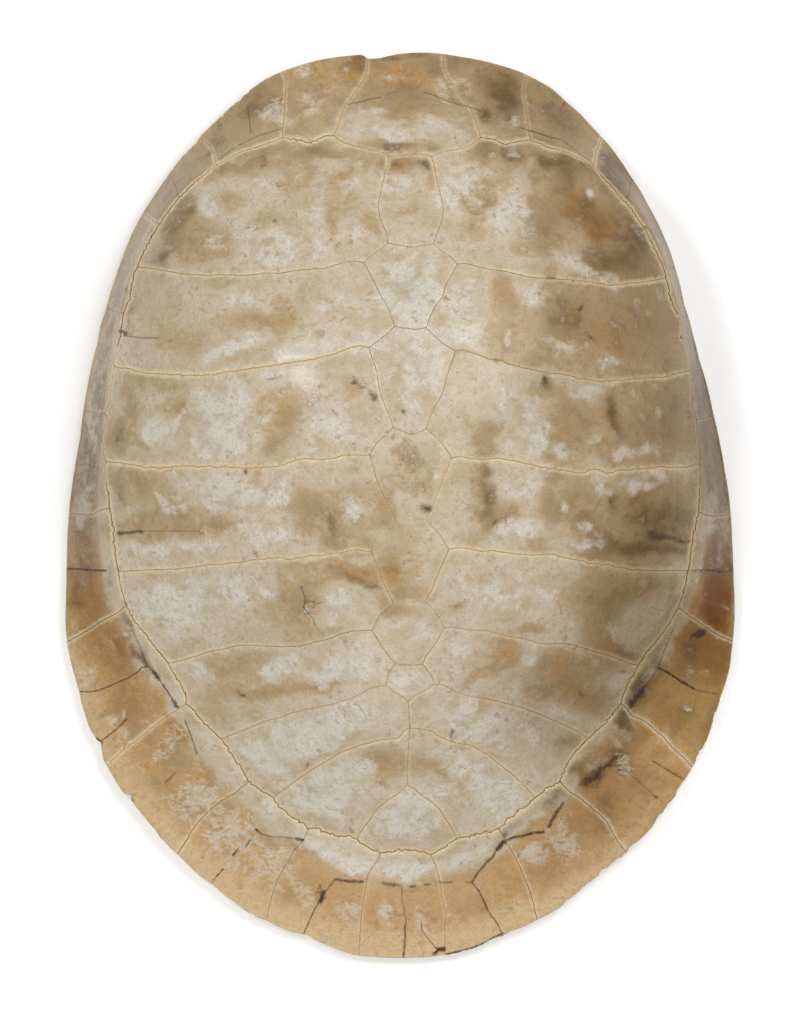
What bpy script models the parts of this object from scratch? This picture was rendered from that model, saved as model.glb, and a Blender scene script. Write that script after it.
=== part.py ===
"""Bony upper shell (carapace) of a large river turtle, cleaned, bleached and polished.

The shell is one grown piece: about fifty flat bones locked together along wavy seams (sutures). It is
modelled in metres, +Z up and +Y towards the head, standing on its rim with the origin under its middle.

The plan of the shell is laid out in the frame of the reference photograph, which looks straight down on it:
every point of a bone's border is a pixel (x, y) there, and plan() turns it into metres. Each spoke, a line
from the crown to the rim, rises and falls by a formula whose heights and slopes are the tables below.
"""

import math

import bmesh
import bpy
import numpy as np
from mathutils.geometry import delaunay_2d_cdt
from mathutils.kdtree import KDTree

# Driving dimensions, in metres
LENGTH = 0.700           # straight length, head end to tail end
HEIGHT = 0.175           # crown above the surface that it stands on
CROWN_FALL = 0.100       # how far the round of the crown alone would fall by the bone ring
BONE = 0.0070            # thickness of the rib plates
RING_BONE = 0.0095       # thickness of the border bones
EDGE_ROUND = 0.0025      # rounding of the rim
SEAM_DEPTH = 0.0012      # the seams, sunk between the bones
SEAM_HALF_WIDTH = 0.0030

# Spacing of the facets, in metres
SEAM_STEP = 0.0125
TOP_STEP = 0.0165
INSIDE_STEP = 0.0210
RIM_STEP = 0.0150

# The photograph's frame: the shell's box there, in pixels, and where the crown is
PHOTO_BOX = (65.5, 53.0, 734.5, 958.0)
CROWN_PIXEL = (403.0, 470.0)
METRES_PER_PIXEL = LENGTH / (PHOTO_BOX[3] - PHOTO_BOX[1])
PAST_THE_RIM = 6.0       # pixels by which a seam that ends at the rim is drawn past it

# Outline of the shell, clockwise as seen from below, starting over the neck
RIM = [
    (405, 53), (362, 55), (320, 60), (280, 72), (245, 94), (205, 132), (170, 173), (143, 213), (122, 262),
    (106, 310), (93, 358), (84, 411), (76, 463), (70, 513), (67, 570), (65.5, 618), (69, 648), (79, 690),
    (92, 732), (107, 765), (130, 799), (177, 855), (210, 884), (240, 906), (267, 919), (300, 935), (340, 951),
    (370, 957), (402, 958), (432, 956), (465, 949), (500, 937), (537, 919), (580, 890), (626, 852),
    (660, 815), (692, 767), (710, 730), (722, 692), (731, 655), (734.5, 610), (733, 570), (730, 514), (722, 460),
    (714, 414), (700, 365), (687, 316), (675, 270), (655, 220), (632, 180), (601, 138), (562, 97), (526, 76),
    (480, 61), (440, 54),
]

# Points where bones meet, (left, right) of the midline. Neural bones run down the back, n0 to n7 between
# them; s2 to s8 are where the rib plates' seams start, at the neural bones' shoulders, and c2 to c8 where
# those end on the ring. p2 to p11 are where the border bones' seams leave the ring.
JOINTS = {
    "nuchal": ((334, 137), (480, 139)), "nuchal_rim": ((369, 61), (443, 57)),
    "n0": ((389, 158), (431, 157)), "n1": ((388, 245), (433, 246)), "n2": ((395, 328), (427, 329)),
    "n3": ((393, 428), (427, 430)), "n4": ((394, 519), (426, 519)), "n5": ((394, 602), (426, 600)),
    "n6": ((396, 663), (423, 663)), "n7": ((408, 699), (408, 699)),
    "s2": ((364, 264), (457, 266)), "s3": ((369, 349), (455, 352)), "s4": ((370, 456), (451, 458)),
    "s5": ((371, 551), (448, 549)), "s6": ((372, 630), (445, 626)), "s7": ((386, 686), (435, 683)),
    "s8": ((402, 735), (411, 726)), "supra_top": ((408, 784), (408, 784)),
    "c2": ((137, 267), (665, 279)), "c3": ((114, 367), (688, 372)), "c4": ((106, 461), (699, 464)),
    "c5": ((119, 571), (687, 571)), "c6": ((168, 663), (637, 666)), "c7": ((222, 740), (588, 738)),
    "c8": ((273, 797), (535, 799)), "supra": ((356, 838), (457, 839)), "pygal": ((380, 853), (431, 854)),
    "p2": ((282, 139), (530, 141)), "p3": ((216, 166), (593, 165)), "p4": ((160, 224), (644, 228)),
    "p5": ((124, 309), (679, 320)), "p6": ((106, 413), (696, 419)), "p7": ((110, 508), (697, 512)),
    "p8": ((126, 604), (678, 607)), "p9": ((187, 704), (622, 704)), "p10": ((250, 781), (560, 781)),
    "p11": ((308, 828), (500, 827)),
}

# Seams as (first joint, points on the way left, points on the way right, last joint)
RING_SEAMS = [
    ("nuchal", [(320, 138), (307, 144), (296, 140)], [(490, 139), (503, 146), (517, 143)], "p2"),
    ("p2", [(257, 149), (232, 158)], [(556, 150), (576, 156)], "p3"),
    ("p3", [(190, 190), (170, 210)], [(618, 195)], "p4"),
    ("p4", [(146, 248)], [(655, 248)], "c2"),
    ("c2", [(133, 282), (130, 300)], [(668, 288), (674, 308)], "p5"),
    ("p5", [(122, 333), (115, 355)], [(681, 343)], "c3"),
    ("c3", [(111, 397)], [(690, 390)], "p6"),
    ("p6", [(108, 427), (104, 450)], [(698, 440)], "c4"),
    ("c4", [(106, 480)], [(700, 488)], "p7"),
    ("p7", [(115, 535), (116, 555)], [(692, 538), (690, 555)], "c5"),
    ("c5", [(121, 585)], [(684, 588)], "p8"),
    ("p8", [(140, 627)], [(660, 637)], "c6"),
    ("c6", [(180, 681), (187, 697)], [(626, 688)], "p9"),
    ("p9", [(203, 721)], [(609, 716)], "c7"),
    ("c7", [(236, 760)], [(570, 760)], "p10"),
    ("p10", [], [(547, 788)], "c8"),
    ("c8", [(290, 814)], [(520, 810)], "p11"),
    ("p11", [(318, 828), (332, 834)], [(482, 833)], "supra"),
    ("supra", [(368, 847)], [(443, 849)], "pygal"),
]
NEURAL_SEAMS = [
    ("n0", [(383, 185), (378, 208), (381, 224)], [(436, 183), (443, 210), (440, 226)], "n1"),
    ("n1", [(376, 253)], [], "s2"), ("s2", [(373, 281)], [(442, 294), (431, 315)], "n2"),
    ("n2", [(384, 338)], [(437, 339)], "s3"),
    ("s3", [(377, 378), (383, 405)], [(446, 382), (441, 398)], "n3"),
    ("n3", [(381, 440)], [(440, 445)], "s4"), ("s4", [(377, 480)], [(441, 483)], "n4"),
    ("n4", [(383, 533)], [(436, 531)], "s5"), ("s5", [(381, 572)], [(438, 575)], "n5"),
    ("n5", [(381, 616)], [(436, 612)], "s6"), ("s6", [], [(436, 640)], "n6"),
    ("n6", [(389, 675)], [(431, 672)], "s7"), ("s7", [], [(421, 690)], "n7"),
]
RIB_PLATE_SEAMS = [
    ("s2", [(348, 263), (325, 270), (250, 277), (200, 277), (160, 270)],
     [(468, 266), (500, 274), (545, 280), (612, 287), (640, 282)], "c2"),
    ("s3", [(357, 347), (320, 359), (240, 372), (190, 377), (150, 373)],
     [(465, 352), (490, 361), (540, 373), (597, 383), (650, 379)], "c3"),
    ("s4", [(345, 456), (310, 460), (288, 462), (262, 468), (150, 468)],
     [(463, 458), (505, 460), (560, 470), (582, 473), (590, 469), (606, 474), (618, 470), (660, 468)], "c4"),
    ("s5", [(357, 548), (343, 552), (262, 559), (200, 567), (140, 570)],
     [(457, 547), (495, 551), (540, 556), (552, 554), (588, 565), (600, 563), (620, 568)], "c5"),
    ("s6", [(357, 629), (310, 642), (262, 645), (235, 646), (200, 655)],
     [(475, 629), (545, 643), (575, 644), (610, 655)], "c6"),
    ("s7", [(375, 685), (353, 697), (300, 710), (255, 724)],
     [(445, 684), (463, 694), (505, 702), (550, 718)], "c7"),
    ("s8", [(385, 738), (350, 748), (320, 765)], [(433, 731), (465, 744), (492, 760)], "c8"),
]
END_BONE_SEAMS = [
    ("nuchal", [(343, 144), (370, 151), (383, 154)], [(470, 147), (455, 151), (440, 153)], "n0"),
    ("nuchal", [(339, 122), (350, 97), (364, 77)], [(471, 112), (452, 86), (444, 72)], "nuchal_rim"),
    ("supra_top", [(390, 797), (378, 806)], [(432, 801), (447, 820)], "supra"),
]
# Seams across the midline or along it: joint and side, points on the way, joint and side
MIDLINE_SEAMS = [
    (("n0", 0), [(410, 155)], ("n0", 1)), (("n1", 0), [(410, 249)], ("n1", 1)),
    (("n2", 0), [(412, 331)], ("n2", 1)), (("n3", 0), [(410, 436)], ("n3", 1)),
    (("n4", 0), [], ("n4", 1)), (("n5", 0), [], ("n5", 1)), (("n6", 0), [], ("n6", 1)),
    (("n7", 0), [(409, 712)], ("s8", 1)), (("s8", 1), [], ("s8", 0)),
    (("s8", 0), [(407, 757)], ("supra_top", 0)), (("pygal", 0), [(405, 850)], ("pygal", 1)),
]
# Seams of the border bones: joint on the ring, and the points from there to the rim, left and right
BORDER_SEAMS = [
    ("p2", [(285, 110), (285, 86), (281, 72)], [(527, 115), (523, 90), (526, 76)]),
    ("p3", [(212, 150), (204, 134)], [(596, 151), (601, 138)]),
    ("p4", [(151, 221), (143, 213)], [(650, 225), (655, 220)]),
    ("p5", [(107, 308)], [(687, 316)]),
    ("p6", [(84, 411)], [(705, 418), (714, 414)]),
    ("p7", [(98, 511), (89, 515), (70, 513)], [(712, 517), (730, 514)]),
    ("p8", [(112, 616), (90, 628), (68, 642)], [(700, 621), (722, 637), (732, 641)]),
    ("p9", [(160, 720), (125, 746), (107, 765)], [(634, 717), (650, 725), (680, 754), (692, 767)]),
    ("p10", [(230, 796), (205, 815), (187, 841), (177, 855)],
     [(572, 794), (602, 818), (616, 841), (626, 852)]),
    ("p11", [(303, 840), (284, 870), (270, 902), (267, 918)],
     [(506, 840), (523, 875), (532, 900), (537, 919)]),
    ("pygal", [(368, 873), (361, 920), (359, 955)], [(438, 870), (440, 893), (445, 912), (446, 951)]),
]

# How a spoke falls, by its angle from the head end in degrees, the same left and right
SPOKE_ANGLES = [0, 22, 42, 62, 84, 102, 118, 137, 158, 180]
RING_HEIGHT = [0.062, 0.060, 0.056, 0.058, 0.062, 0.058, 0.049, 0.038, 0.033, 0.031]
RING_SLOPE = [0.75, 0.85, 1.20, 1.40, 1.45, 1.30, 1.05, 0.82, 0.72, 0.68]
EDGE_HEIGHT = [0.0165, 0.0150, 0.0110, 0.0095, 0.0090, 0.0090, 0.0095, 0.0110, 0.0100, 0.0085]
EDGE_SLOPE = [0.30, 0.45, 2.20, 3.20, 3.00, 1.30, 0.50, 0.22, 0.15, 0.10]
FOOT_HEIGHT = [0.0080, 0.0060, 0.0000, 0.0000, 0.0000, 0.0000, 0.0000, 0.0030, 0.0015, 0.0000]
FOOT_WIDTH = [0.005, 0.005, 0.013, 0.014, 0.014, 0.013, 0.006, 0.005, 0.005, 0.005]
FOOT_FLAT = (46, 110)    # spokes on which the sawn bridge stands flat, in degrees
INSIDE_REACH = 0.72      # share of a border bone's width that the hollow reaches under

# Where the ring runs over the nuchal and pygal bones, and how many waves its course and the spokes' have
RING_FRONT, RING_BACK = (408, 136), (405, 850)
RING_WAVES = 5
SPOKE_WAVES = 6

# The backbone, grown to the inside of the neural bones, and the ribs that run from it in the rib plates
BACKBONE_X = 410         # pixels
BACKBONE_ENDS = (176, 742)
BACKBONE_DEPTH = 0.015
BACKBONE_HALF_WIDTH = 0.011
VERTEBRA_SWELL = 0.0025
RIB_ROOTS = [205, 305, 402, 503, 592, 655, 705]
RIB_TIPS = [((146, 215), (656, 222)), ((120, 318), (680, 325)), ((108, 414), (695, 418)),
            ((111, 516), (695, 518)), ((143, 617), (663, 619)), ((194, 700), (613, 700)),
            ((248, 770), (562, 770))]
RIB_HEAD_REACH = 0.055
RIB_HEAD_DEPTH = 0.013
RIB_HEAD_HALF_WIDTH = 0.0085
BACKBONE_ROWS = (0, 0.0085, 0.0145, 0.0215, 0.031, 0.043)
BACKBONE_STEP = 0.0105


def plan(pixel):
    """A pixel of the photograph as (x, y) in metres, from the middle of the shell's box."""
    left, top, right, bottom = PHOTO_BOX
    return np.array([(pixel[0] - (left + right) / 2) * METRES_PER_PIXEL,
                     ((top + bottom) / 2 - pixel[1]) * METRES_PER_PIXEL])


CROWN = plan(CROWN_PIXEL)


def polar(points):
    """Angles from the head end, positive to the right, and distances from the crown."""
    away = np.atleast_2d(points) - CROWN
    return np.arctan2(away[:, 0], away[:, 1]), np.hypot(away[:, 0], away[:, 1])


def hermite(share, start, start_slope, end, end_slope):
    """Cubic from start to end as share goes from 0 to 1, with the slopes given per unit of share."""
    s, s2, s3 = share, share ** 2, share ** 3
    return ((2 * s3 - 3 * s2 + 1) * start + (s3 - 2 * s2 + s) * start_slope
            + (3 * s2 - 2 * s3) * end + (s3 - s2) * end_slope)


def curve_through(knots, values, at):
    """Smooth curve through values (one row for each knot), read at the places asked for."""
    slopes = np.gradient(values, knots, axis=0)
    k = np.clip(np.searchsorted(knots, at, side="right") - 1, 0, len(knots) - 2)
    gap = (knots[k + 1] - knots[k]).reshape(-1, *[1] * (values.ndim - 1))
    share = (at - knots[k]).reshape(gap.shape) / gap
    return hermite(share, values[k], slopes[k] * gap, values[k + 1], slopes[k + 1] * gap)


def radius_by_angle(pixels):
    """A closed outline as a function that gives its distance from the crown at each angle."""
    angles, radii = polar([plan(p) for p in pixels])
    order = np.argsort(angles)
    turn = 2 * math.pi
    knots = np.concatenate([angles[order] - turn, angles[order], angles[order] + turn])
    return lambda angle: curve_through(knots, np.tile(radii[order], 3), np.atleast_1d(angle))


def wave_through(angles, values, waves):
    """The smooth closed wave, a sum of this many harmonics, that runs nearest to the values."""
    def terms(angle):
        orders = np.arange(1, waves + 1) * np.atleast_1d(angle)[:, None]
        return np.column_stack([np.ones(len(orders)), np.cos(orders), np.sin(orders)])
    weights = np.linalg.lstsq(terms(angles), values, rcond=None)[0]
    return lambda angle: terms(angle) @ weights


RING_JOINTS = ["p2", "p3", "p4", "c2", "c3", "c4", "p7", "c5", "p8", "c6", "p9", "c7", "c8", "p11"]
RING = [JOINTS[name][side] for name in RING_JOINTS for side in (0, 1)] + [RING_FRONT, RING_BACK]
rim_radius = radius_by_angle(RIM)
ring_radius = wave_through(*polar([plan(p) for p in RING]), RING_WAVES)

BOTH_SIDES = np.array([-a for a in SPOKE_ANGLES[:0:-1]] + SPOKE_ANGLES, float)


def spoke_wave(table):
    return wave_through(np.radians(BOTH_SIDES), np.array(table[:0:-1] + table), SPOKE_WAVES)


ring_height, ring_slope = spoke_wave(RING_HEIGHT), spoke_wave(RING_SLOPE)
edge_height, edge_slope = spoke_wave(EDGE_HEIGHT), spoke_wave(EDGE_SLOPE)


def by_spoke(table, angle):
    """A value of a spoke table at each angle, exactly the table's own on its spokes."""
    return curve_through(BOTH_SIDES, np.array(table[:0:-1] + table), np.degrees(np.atleast_1d(angle)))


def surface_height(angle, radius):
    """Height of the smooth outer surface, without its seams."""
    ring, rim = ring_radius(angle), rim_radius(angle)
    u = np.minimum(radius / ring, 1.0)
    fall, pitch = HEIGHT - ring_height(angle), ring_slope(angle) * ring
    fourth = (6 * fall - 4 * CROWN_FALL - pitch) / 2
    sixth = fall - CROWN_FALL - fourth
    dome = HEIGHT - CROWN_FALL * u ** 2 - fourth * u ** 4 - sixth * u ** 6
    width = rim - ring
    v = np.clip((radius - ring) / width, 0.0, 1.0)
    border = hermite(v, ring_height(angle), -ring_slope(angle) * width, edge_height(angle),
                     -edge_slope(angle) * width)
    return np.where(radius < ring, dome, border)


def on_surface(points):
    """Plan points lifted onto the outer surface, and the surface's normals there."""
    nudge = 0.001

    def height(dx, dy):
        return surface_height(*polar(points + (dx, dy)))

    east, north = height(nudge, 0) - height(-nudge, 0), height(0, nudge) - height(0, -nudge)
    normals = np.column_stack([-east, -north, np.full(len(points), 2 * nudge)])
    normals /= np.linalg.norm(normals, axis=1, keepdims=True)
    return np.column_stack([points, height(0, 0)]), normals


def border_stretch(angle):
    """How much longer a border bone is along its slope than in plan."""
    width = rim_radius(angle) - ring_radius(angle)
    return np.hypot(width, ring_height(angle) - edge_height(angle)) / width


def laid_out(points):
    """Plan points with the steep border bones laid flat, so that facets come out even on the surface."""
    angle, radius = polar(points)
    past = np.maximum(radius - ring_radius(angle), 0)
    radius = radius + past * (border_stretch(angle) - 1)
    return np.column_stack([np.sin(angle), np.cos(angle)]) * radius[:, None] + CROWN


def folded_back(points):
    """The plan points that laid_out() gives these for."""
    angle, radius = polar(points)
    past = np.maximum(radius - ring_radius(angle), 0)
    radius = radius + past * (1 / border_stretch(angle) - 1)
    return np.column_stack([np.sin(angle), np.cos(angle)]) * radius[:, None] + CROWN


def seam(pixels, step, past_rim=False):
    """A smooth seam through these pixels, laid out flat, with a point about every step."""
    if past_rim:
        (x0, y0), (x1, y1) = pixels[-2:]
        reach = PAST_THE_RIM / math.hypot(x1 - x0, y1 - y0)
        pixels = [*pixels, (x1 + (x1 - x0) * reach, y1 + (y1 - y0) * reach)]
    knots = laid_out(np.array([plan(p) for p in pixels]))
    run = np.concatenate([[0.0], np.cumsum(np.hypot(*np.diff(knots, axis=0).T))])
    places = np.linspace(0, run[-1], max(2, round(run[-1] / step) + 1))
    return curve_through(run, knots, places)


def all_seams(step):
    lines = []
    for first, left, right, last in RING_SEAMS + NEURAL_SEAMS + RIB_PLATE_SEAMS + END_BONE_SEAMS:
        for side, way in enumerate((left, right)):
            ends = JOINTS[first][side], JOINTS[last][side]
            lines.append(seam([ends[0], *way, ends[1]], step, past_rim=last == "nuchal_rim"))
    for (first, one), way, (last, other) in MIDLINE_SEAMS:
        lines.append(seam([JOINTS[first][one], *way, JOINTS[last][other]], step))
    for joint, left, right in BORDER_SEAMS:
        for side, way in enumerate((left, right)):
            lines.append(seam([JOINTS[joint][side], *way], step, past_rim=True))
    return lines


def beside(line, offset):
    """The line moved sideways, without its ends."""
    along = np.gradient(line, axis=0)
    along /= np.linalg.norm(along, axis=1, keepdims=True)
    return (line + np.column_stack([along[:, 1], -along[:, 0]]) * offset)[1:-1]


def tree_of(points):
    tree = KDTree(len(points))
    for i, (x, y) in enumerate(points):
        tree.insert((x, y, 0), i)
    tree.balance()
    return tree


def away_from(tree, points, least):
    """Those of the points that are at least so far from every point of the tree."""
    return [p for p in points if tree.find((p[0], p[1], 0))[2] >= least]


def even_points(step):
    """A field of points in a triangular pattern over the laid out shell."""
    rows = np.arange(-0.62, 0.62, step * math.sqrt(3) / 2)
    places = np.arange(-0.62, 0.62, step)
    return np.array([(x + (j % 2) * step / 2, y) for j, y in enumerate(rows) for x in places])


def inside_border(points, share, margin):
    """Those of the laid out points that lie inside that share of the border bones' width, by a margin."""
    angle, radius = polar(points)
    ring = ring_radius(angle)
    reach = ring + (rim_radius(angle) - ring) * border_stretch(angle) * share
    return points[radius < reach - margin]


def border_loop(angles, share):
    """Laid out points at that share of the border bones' width."""
    ring = ring_radius(angles)
    radius = ring + (rim_radius(angles) - ring) * border_stretch(angles) * share
    return np.column_stack([np.sin(angles), np.cos(angles)]) * radius[:, None] + CROWN


def filled(loop, lines, loose):
    """Triangles that fill the loop, with edges along the lines and corners at the loose points.
    Returns the points and the faces; the loop's own points come out first and in order."""
    points, edges = list(map(tuple, loop)), [(i, (i + 1) % len(loop)) for i in range(len(loop))]
    for line in lines:
        start = len(points)
        points += map(tuple, line)
        edges += [(start + i, start + i + 1) for i in range(len(line) - 1)]
    points += map(tuple, loose)
    found, _, faces, *_ = delaunay_2d_cdt(points, edges, [], 1, 1e-6)
    return np.array([tuple(p) for p in found]), faces


def rim_loops(angles):
    """The rim's rounding and the foot under it, from the outer surface in to the hollow."""
    rim = rim_radius(angles)
    floor = np.maximum(by_spoke(FOOT_HEIGHT, angles), 0.0)
    spoke = np.degrees(np.abs(angles))
    floor[(spoke > FOOT_FLAT[0]) & (spoke < FOOT_FLAT[1])] = 0.0
    foot = by_spoke(FOOT_WIDTH, angles)
    edge = edge_height(angles)
    for radius, height in ((rim, (edge + floor) / 2 + EDGE_ROUND / 2), (rim - EDGE_ROUND, floor),
                           (rim - EDGE_ROUND - foot, floor)):
        x, y = np.sin(angles) * radius + CROWN[0], np.cos(angles) * radius + CROWN[1]
        yield np.column_stack([x, y, height])


def backbone_relief(points):
    """How far the backbone and the rib heads stand out of the inner surface at these plan points."""
    middle, _ = plan((BACKBONE_X, 0))
    _, front = plan((0, BACKBONE_ENDS[0]))
    _, back = plan((0, BACKBONE_ENDS[1]))
    x, y = points[:, 0] - middle, points[:, 1]
    fade = np.clip((front - y) / 0.03, 0, 1) * np.clip((y - back) / 0.05, 0, 1)
    roots = np.array([plan((0, p))[1] for p in RIB_ROOTS])
    nearest = np.abs(y[:, None] - roots).min(axis=1)
    swell = VERTEBRA_SWELL * np.cos(np.clip(nearest / 0.035, 0, 1) * math.pi)
    relief = (BACKBONE_DEPTH + swell) * fade * np.exp(-(np.abs(x) / BACKBONE_HALF_WIDTH) ** 3)
    for root, tips in zip(RIB_ROOTS, RIB_TIPS):
        start = plan((BACKBONE_X, root))
        for tip in tips:
            way = plan(tip) - start
            length = np.hypot(*way)
            along = (points - start) @ way / length
            aside = np.abs((points - start) @ np.array([way[1], -way[0]]) / length)
            head = RIB_HEAD_DEPTH * np.clip(1 - along / RIB_HEAD_REACH, 0, 1)
            head = np.where(along > 0, head * np.exp(-(aside / RIB_HEAD_HALF_WIDTH) ** 2), 0)
            relief = np.maximum(relief, head)
    return relief


def on_inside(points):
    """Plan points put on the wall of the hollow, under the outer surface."""
    outer, normals = on_surface(points)
    angle, radius = polar(points)
    border = np.clip(radius / ring_radius(angle), 0.8, 1.0) * 5 - 4
    thickness = BONE + (RING_BONE - BONE) * border
    inner = outer - normals * thickness[:, None]
    inner[:, 2] -= backbone_relief(points)
    return inner


def backbone_points():
    """Rows of points that give the backbone and the rib heads their form."""
    middle, front = plan((BACKBONE_X, BACKBONE_ENDS[0] - 8))
    back = plan((0, BACKBONE_ENDS[1] + 8))[1]
    across = [-x for x in BACKBONE_ROWS[:0:-1]] + list(BACKBONE_ROWS)
    return np.array([(middle + x, y) for y in np.arange(back, front, BACKBONE_STEP) for x in across])


def carapace():
    """The whole shell as one closed mesh: outer surface with its seams, rim, foot and hollow."""
    turns = round(2 * math.pi * 0.30 / RIM_STEP)
    angles = np.linspace(-math.pi, math.pi, turns, endpoint=False)
    edge = border_loop(angles, 0.97)

    # Outer surface: facets that follow the seams, with a row on each side where the bone starts to sink
    lines = all_seams(SEAM_STEP)
    seam_tree = tree_of(np.concatenate(lines))
    fine_tree = tree_of(np.concatenate(all_seams(SEAM_HALF_WIDTH / 2)))
    offsets = (-SEAM_HALF_WIDTH, SEAM_HALF_WIDTH)
    beside_seams = np.concatenate([beside(line, offset) for line in lines for offset in offsets])
    beside_seams = inside_border(beside_seams, 0.97, SEAM_HALF_WIDTH)
    beside_seams = away_from(fine_tree, beside_seams, SEAM_HALF_WIDTH * 0.8)
    field = inside_border(even_points(TOP_STEP), 0.97, TOP_STEP * 0.45)
    field = away_from(fine_tree, field, TOP_STEP * 0.62)
    flat, faces = filled(edge, lines, [*beside_seams, *field])
    top, normals = on_surface(folded_back(flat))
    on_seam = np.array([fine_tree.find((x, y, 0))[2] < SEAM_HALF_WIDTH / 3 for x, y in flat])
    top -= normals * (on_seam * SEAM_DEPTH)[:, None]

    shell = bmesh.new()
    corners = [shell.verts.new(p) for p in top]
    for face in faces:
        shell.faces.new([corners[i] for i in face])
    bmesh.ops.delete(shell, geom=[v for v in shell.verts if not v.link_faces], context="VERTS")
    bmesh.ops.recalc_face_normals(shell, faces=shell.faces[:])
    if sum(face.normal.z for face in shell.faces) < 0:
        bmesh.ops.reverse_faces(shell, faces=shell.faces[:])

    # Rim and foot: the open edge drawn out, round, under and in
    border = [e for e in shell.edges if e.is_boundary]
    rim_corners = sorted({v for e in border for v in e.verts}, key=lambda v: polar([v.co[:2]])[0][0])
    rim_angles = polar([v.co[:2] for v in rim_corners])[0]
    loop = rim_corners
    targets = [*rim_loops(rim_angles), on_inside(folded_back(border_loop(rim_angles, INSIDE_REACH)))]
    for target in targets:
        following = [shell.verts.new(p) for p in target]
        for i in range(len(loop)):
            j = (i + 1) % len(loop)
            shell.faces.new([loop[j], loop[i], following[i], following[j]])
        loop = following

    # Hollow: filled across from the last loop
    inside_edge = border_loop(rim_angles, INSIDE_REACH)
    bones = laid_out(backbone_points())
    field = inside_border(even_points(INSIDE_STEP), INSIDE_REACH, INSIDE_STEP * 0.45)
    field = away_from(tree_of(bones), field, INSIDE_STEP * 0.6)
    flat, faces = filled(inside_edge, [], [*bones, *field])
    wall = on_inside(folded_back(flat))
    corners = loop + [shell.verts.new(p) for p in wall[len(loop):]]
    for face in faces:
        shell.faces.new([corners[i] for i in reversed(face)])
    bmesh.ops.recalc_face_normals(shell, faces=shell.faces[:])
    bmesh.ops.triangulate(shell, faces=shell.faces[:])

    mesh = bpy.data.meshes.new("carapace")
    shell.to_mesh(mesh)
    shell.free()
    return mesh


def bone_material():
    material = bpy.data.materials.new("polished_bone")
    material.use_nodes = True
    finish = material.node_tree.nodes["Principled BSDF"]
    finish.inputs["Base Color"].default_value = (0.50, 0.41, 0.29, 1)
    finish.inputs["Roughness"].default_value = 0.38
    finish.inputs["Metallic"].default_value = 0.0
    return material


for old in list(bpy.data.objects):
    bpy.data.objects.remove(old)
collection = bpy.data.collections.new("tortoise_shell")
bpy.context.scene.collection.children.link(collection)
shell_object = bpy.data.objects.new("carapace", carapace())
shell_object.data.materials.append(bone_material())
shell_object.data.shade_smooth()
collection.objects.link(shell_object)
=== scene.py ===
import math

import bpy
import numpy as np
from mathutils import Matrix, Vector, noise
from mathutils.geometry import delaunay_2d_cdt
from mathutils.kdtree import KDTree


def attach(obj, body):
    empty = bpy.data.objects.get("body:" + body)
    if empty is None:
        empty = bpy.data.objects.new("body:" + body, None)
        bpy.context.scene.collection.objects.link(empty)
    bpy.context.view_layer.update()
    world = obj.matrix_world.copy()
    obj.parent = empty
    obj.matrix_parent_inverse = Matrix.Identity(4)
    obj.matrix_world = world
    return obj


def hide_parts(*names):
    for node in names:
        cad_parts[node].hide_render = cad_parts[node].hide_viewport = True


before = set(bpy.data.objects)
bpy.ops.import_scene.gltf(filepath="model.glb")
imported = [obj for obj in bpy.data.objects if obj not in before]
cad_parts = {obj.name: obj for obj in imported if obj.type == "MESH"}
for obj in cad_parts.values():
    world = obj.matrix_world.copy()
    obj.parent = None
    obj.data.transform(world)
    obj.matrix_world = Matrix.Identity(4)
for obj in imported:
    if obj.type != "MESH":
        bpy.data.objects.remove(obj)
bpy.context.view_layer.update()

bpy.ops.object.select_all(action="DESELECT")


# The carapace: the bony back of a large river turtle, boiled clean, bleached and polished. It grew as flat
# bones that lock together along zigzag seams, and it is shaped here in the photograph's plan: each pixel
# (x, y) is a place on the shell seen from straight above, and a formula gives its height.
LENGTH = 0.700
PHOTO_BOX = (65.5, 53.0, 734.5, 958.0)
CROWN_PIXEL = (403.0, 470.0)
METRES_PER_PIXEL = LENGTH / (PHOTO_BOX[3] - PHOTO_BOX[1])
MM = 0.001


def plan(pixel):
    """A pixel of the photograph as (x, y) in metres, from the middle of the shell's box."""
    left, top, right, bottom = PHOTO_BOX
    return np.array([(pixel[0] - (left + right) / 2) * METRES_PER_PIXEL,
                     ((top + bottom) / 2 - pixel[1]) * METRES_PER_PIXEL])


CROWN = plan(CROWN_PIXEL)

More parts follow.
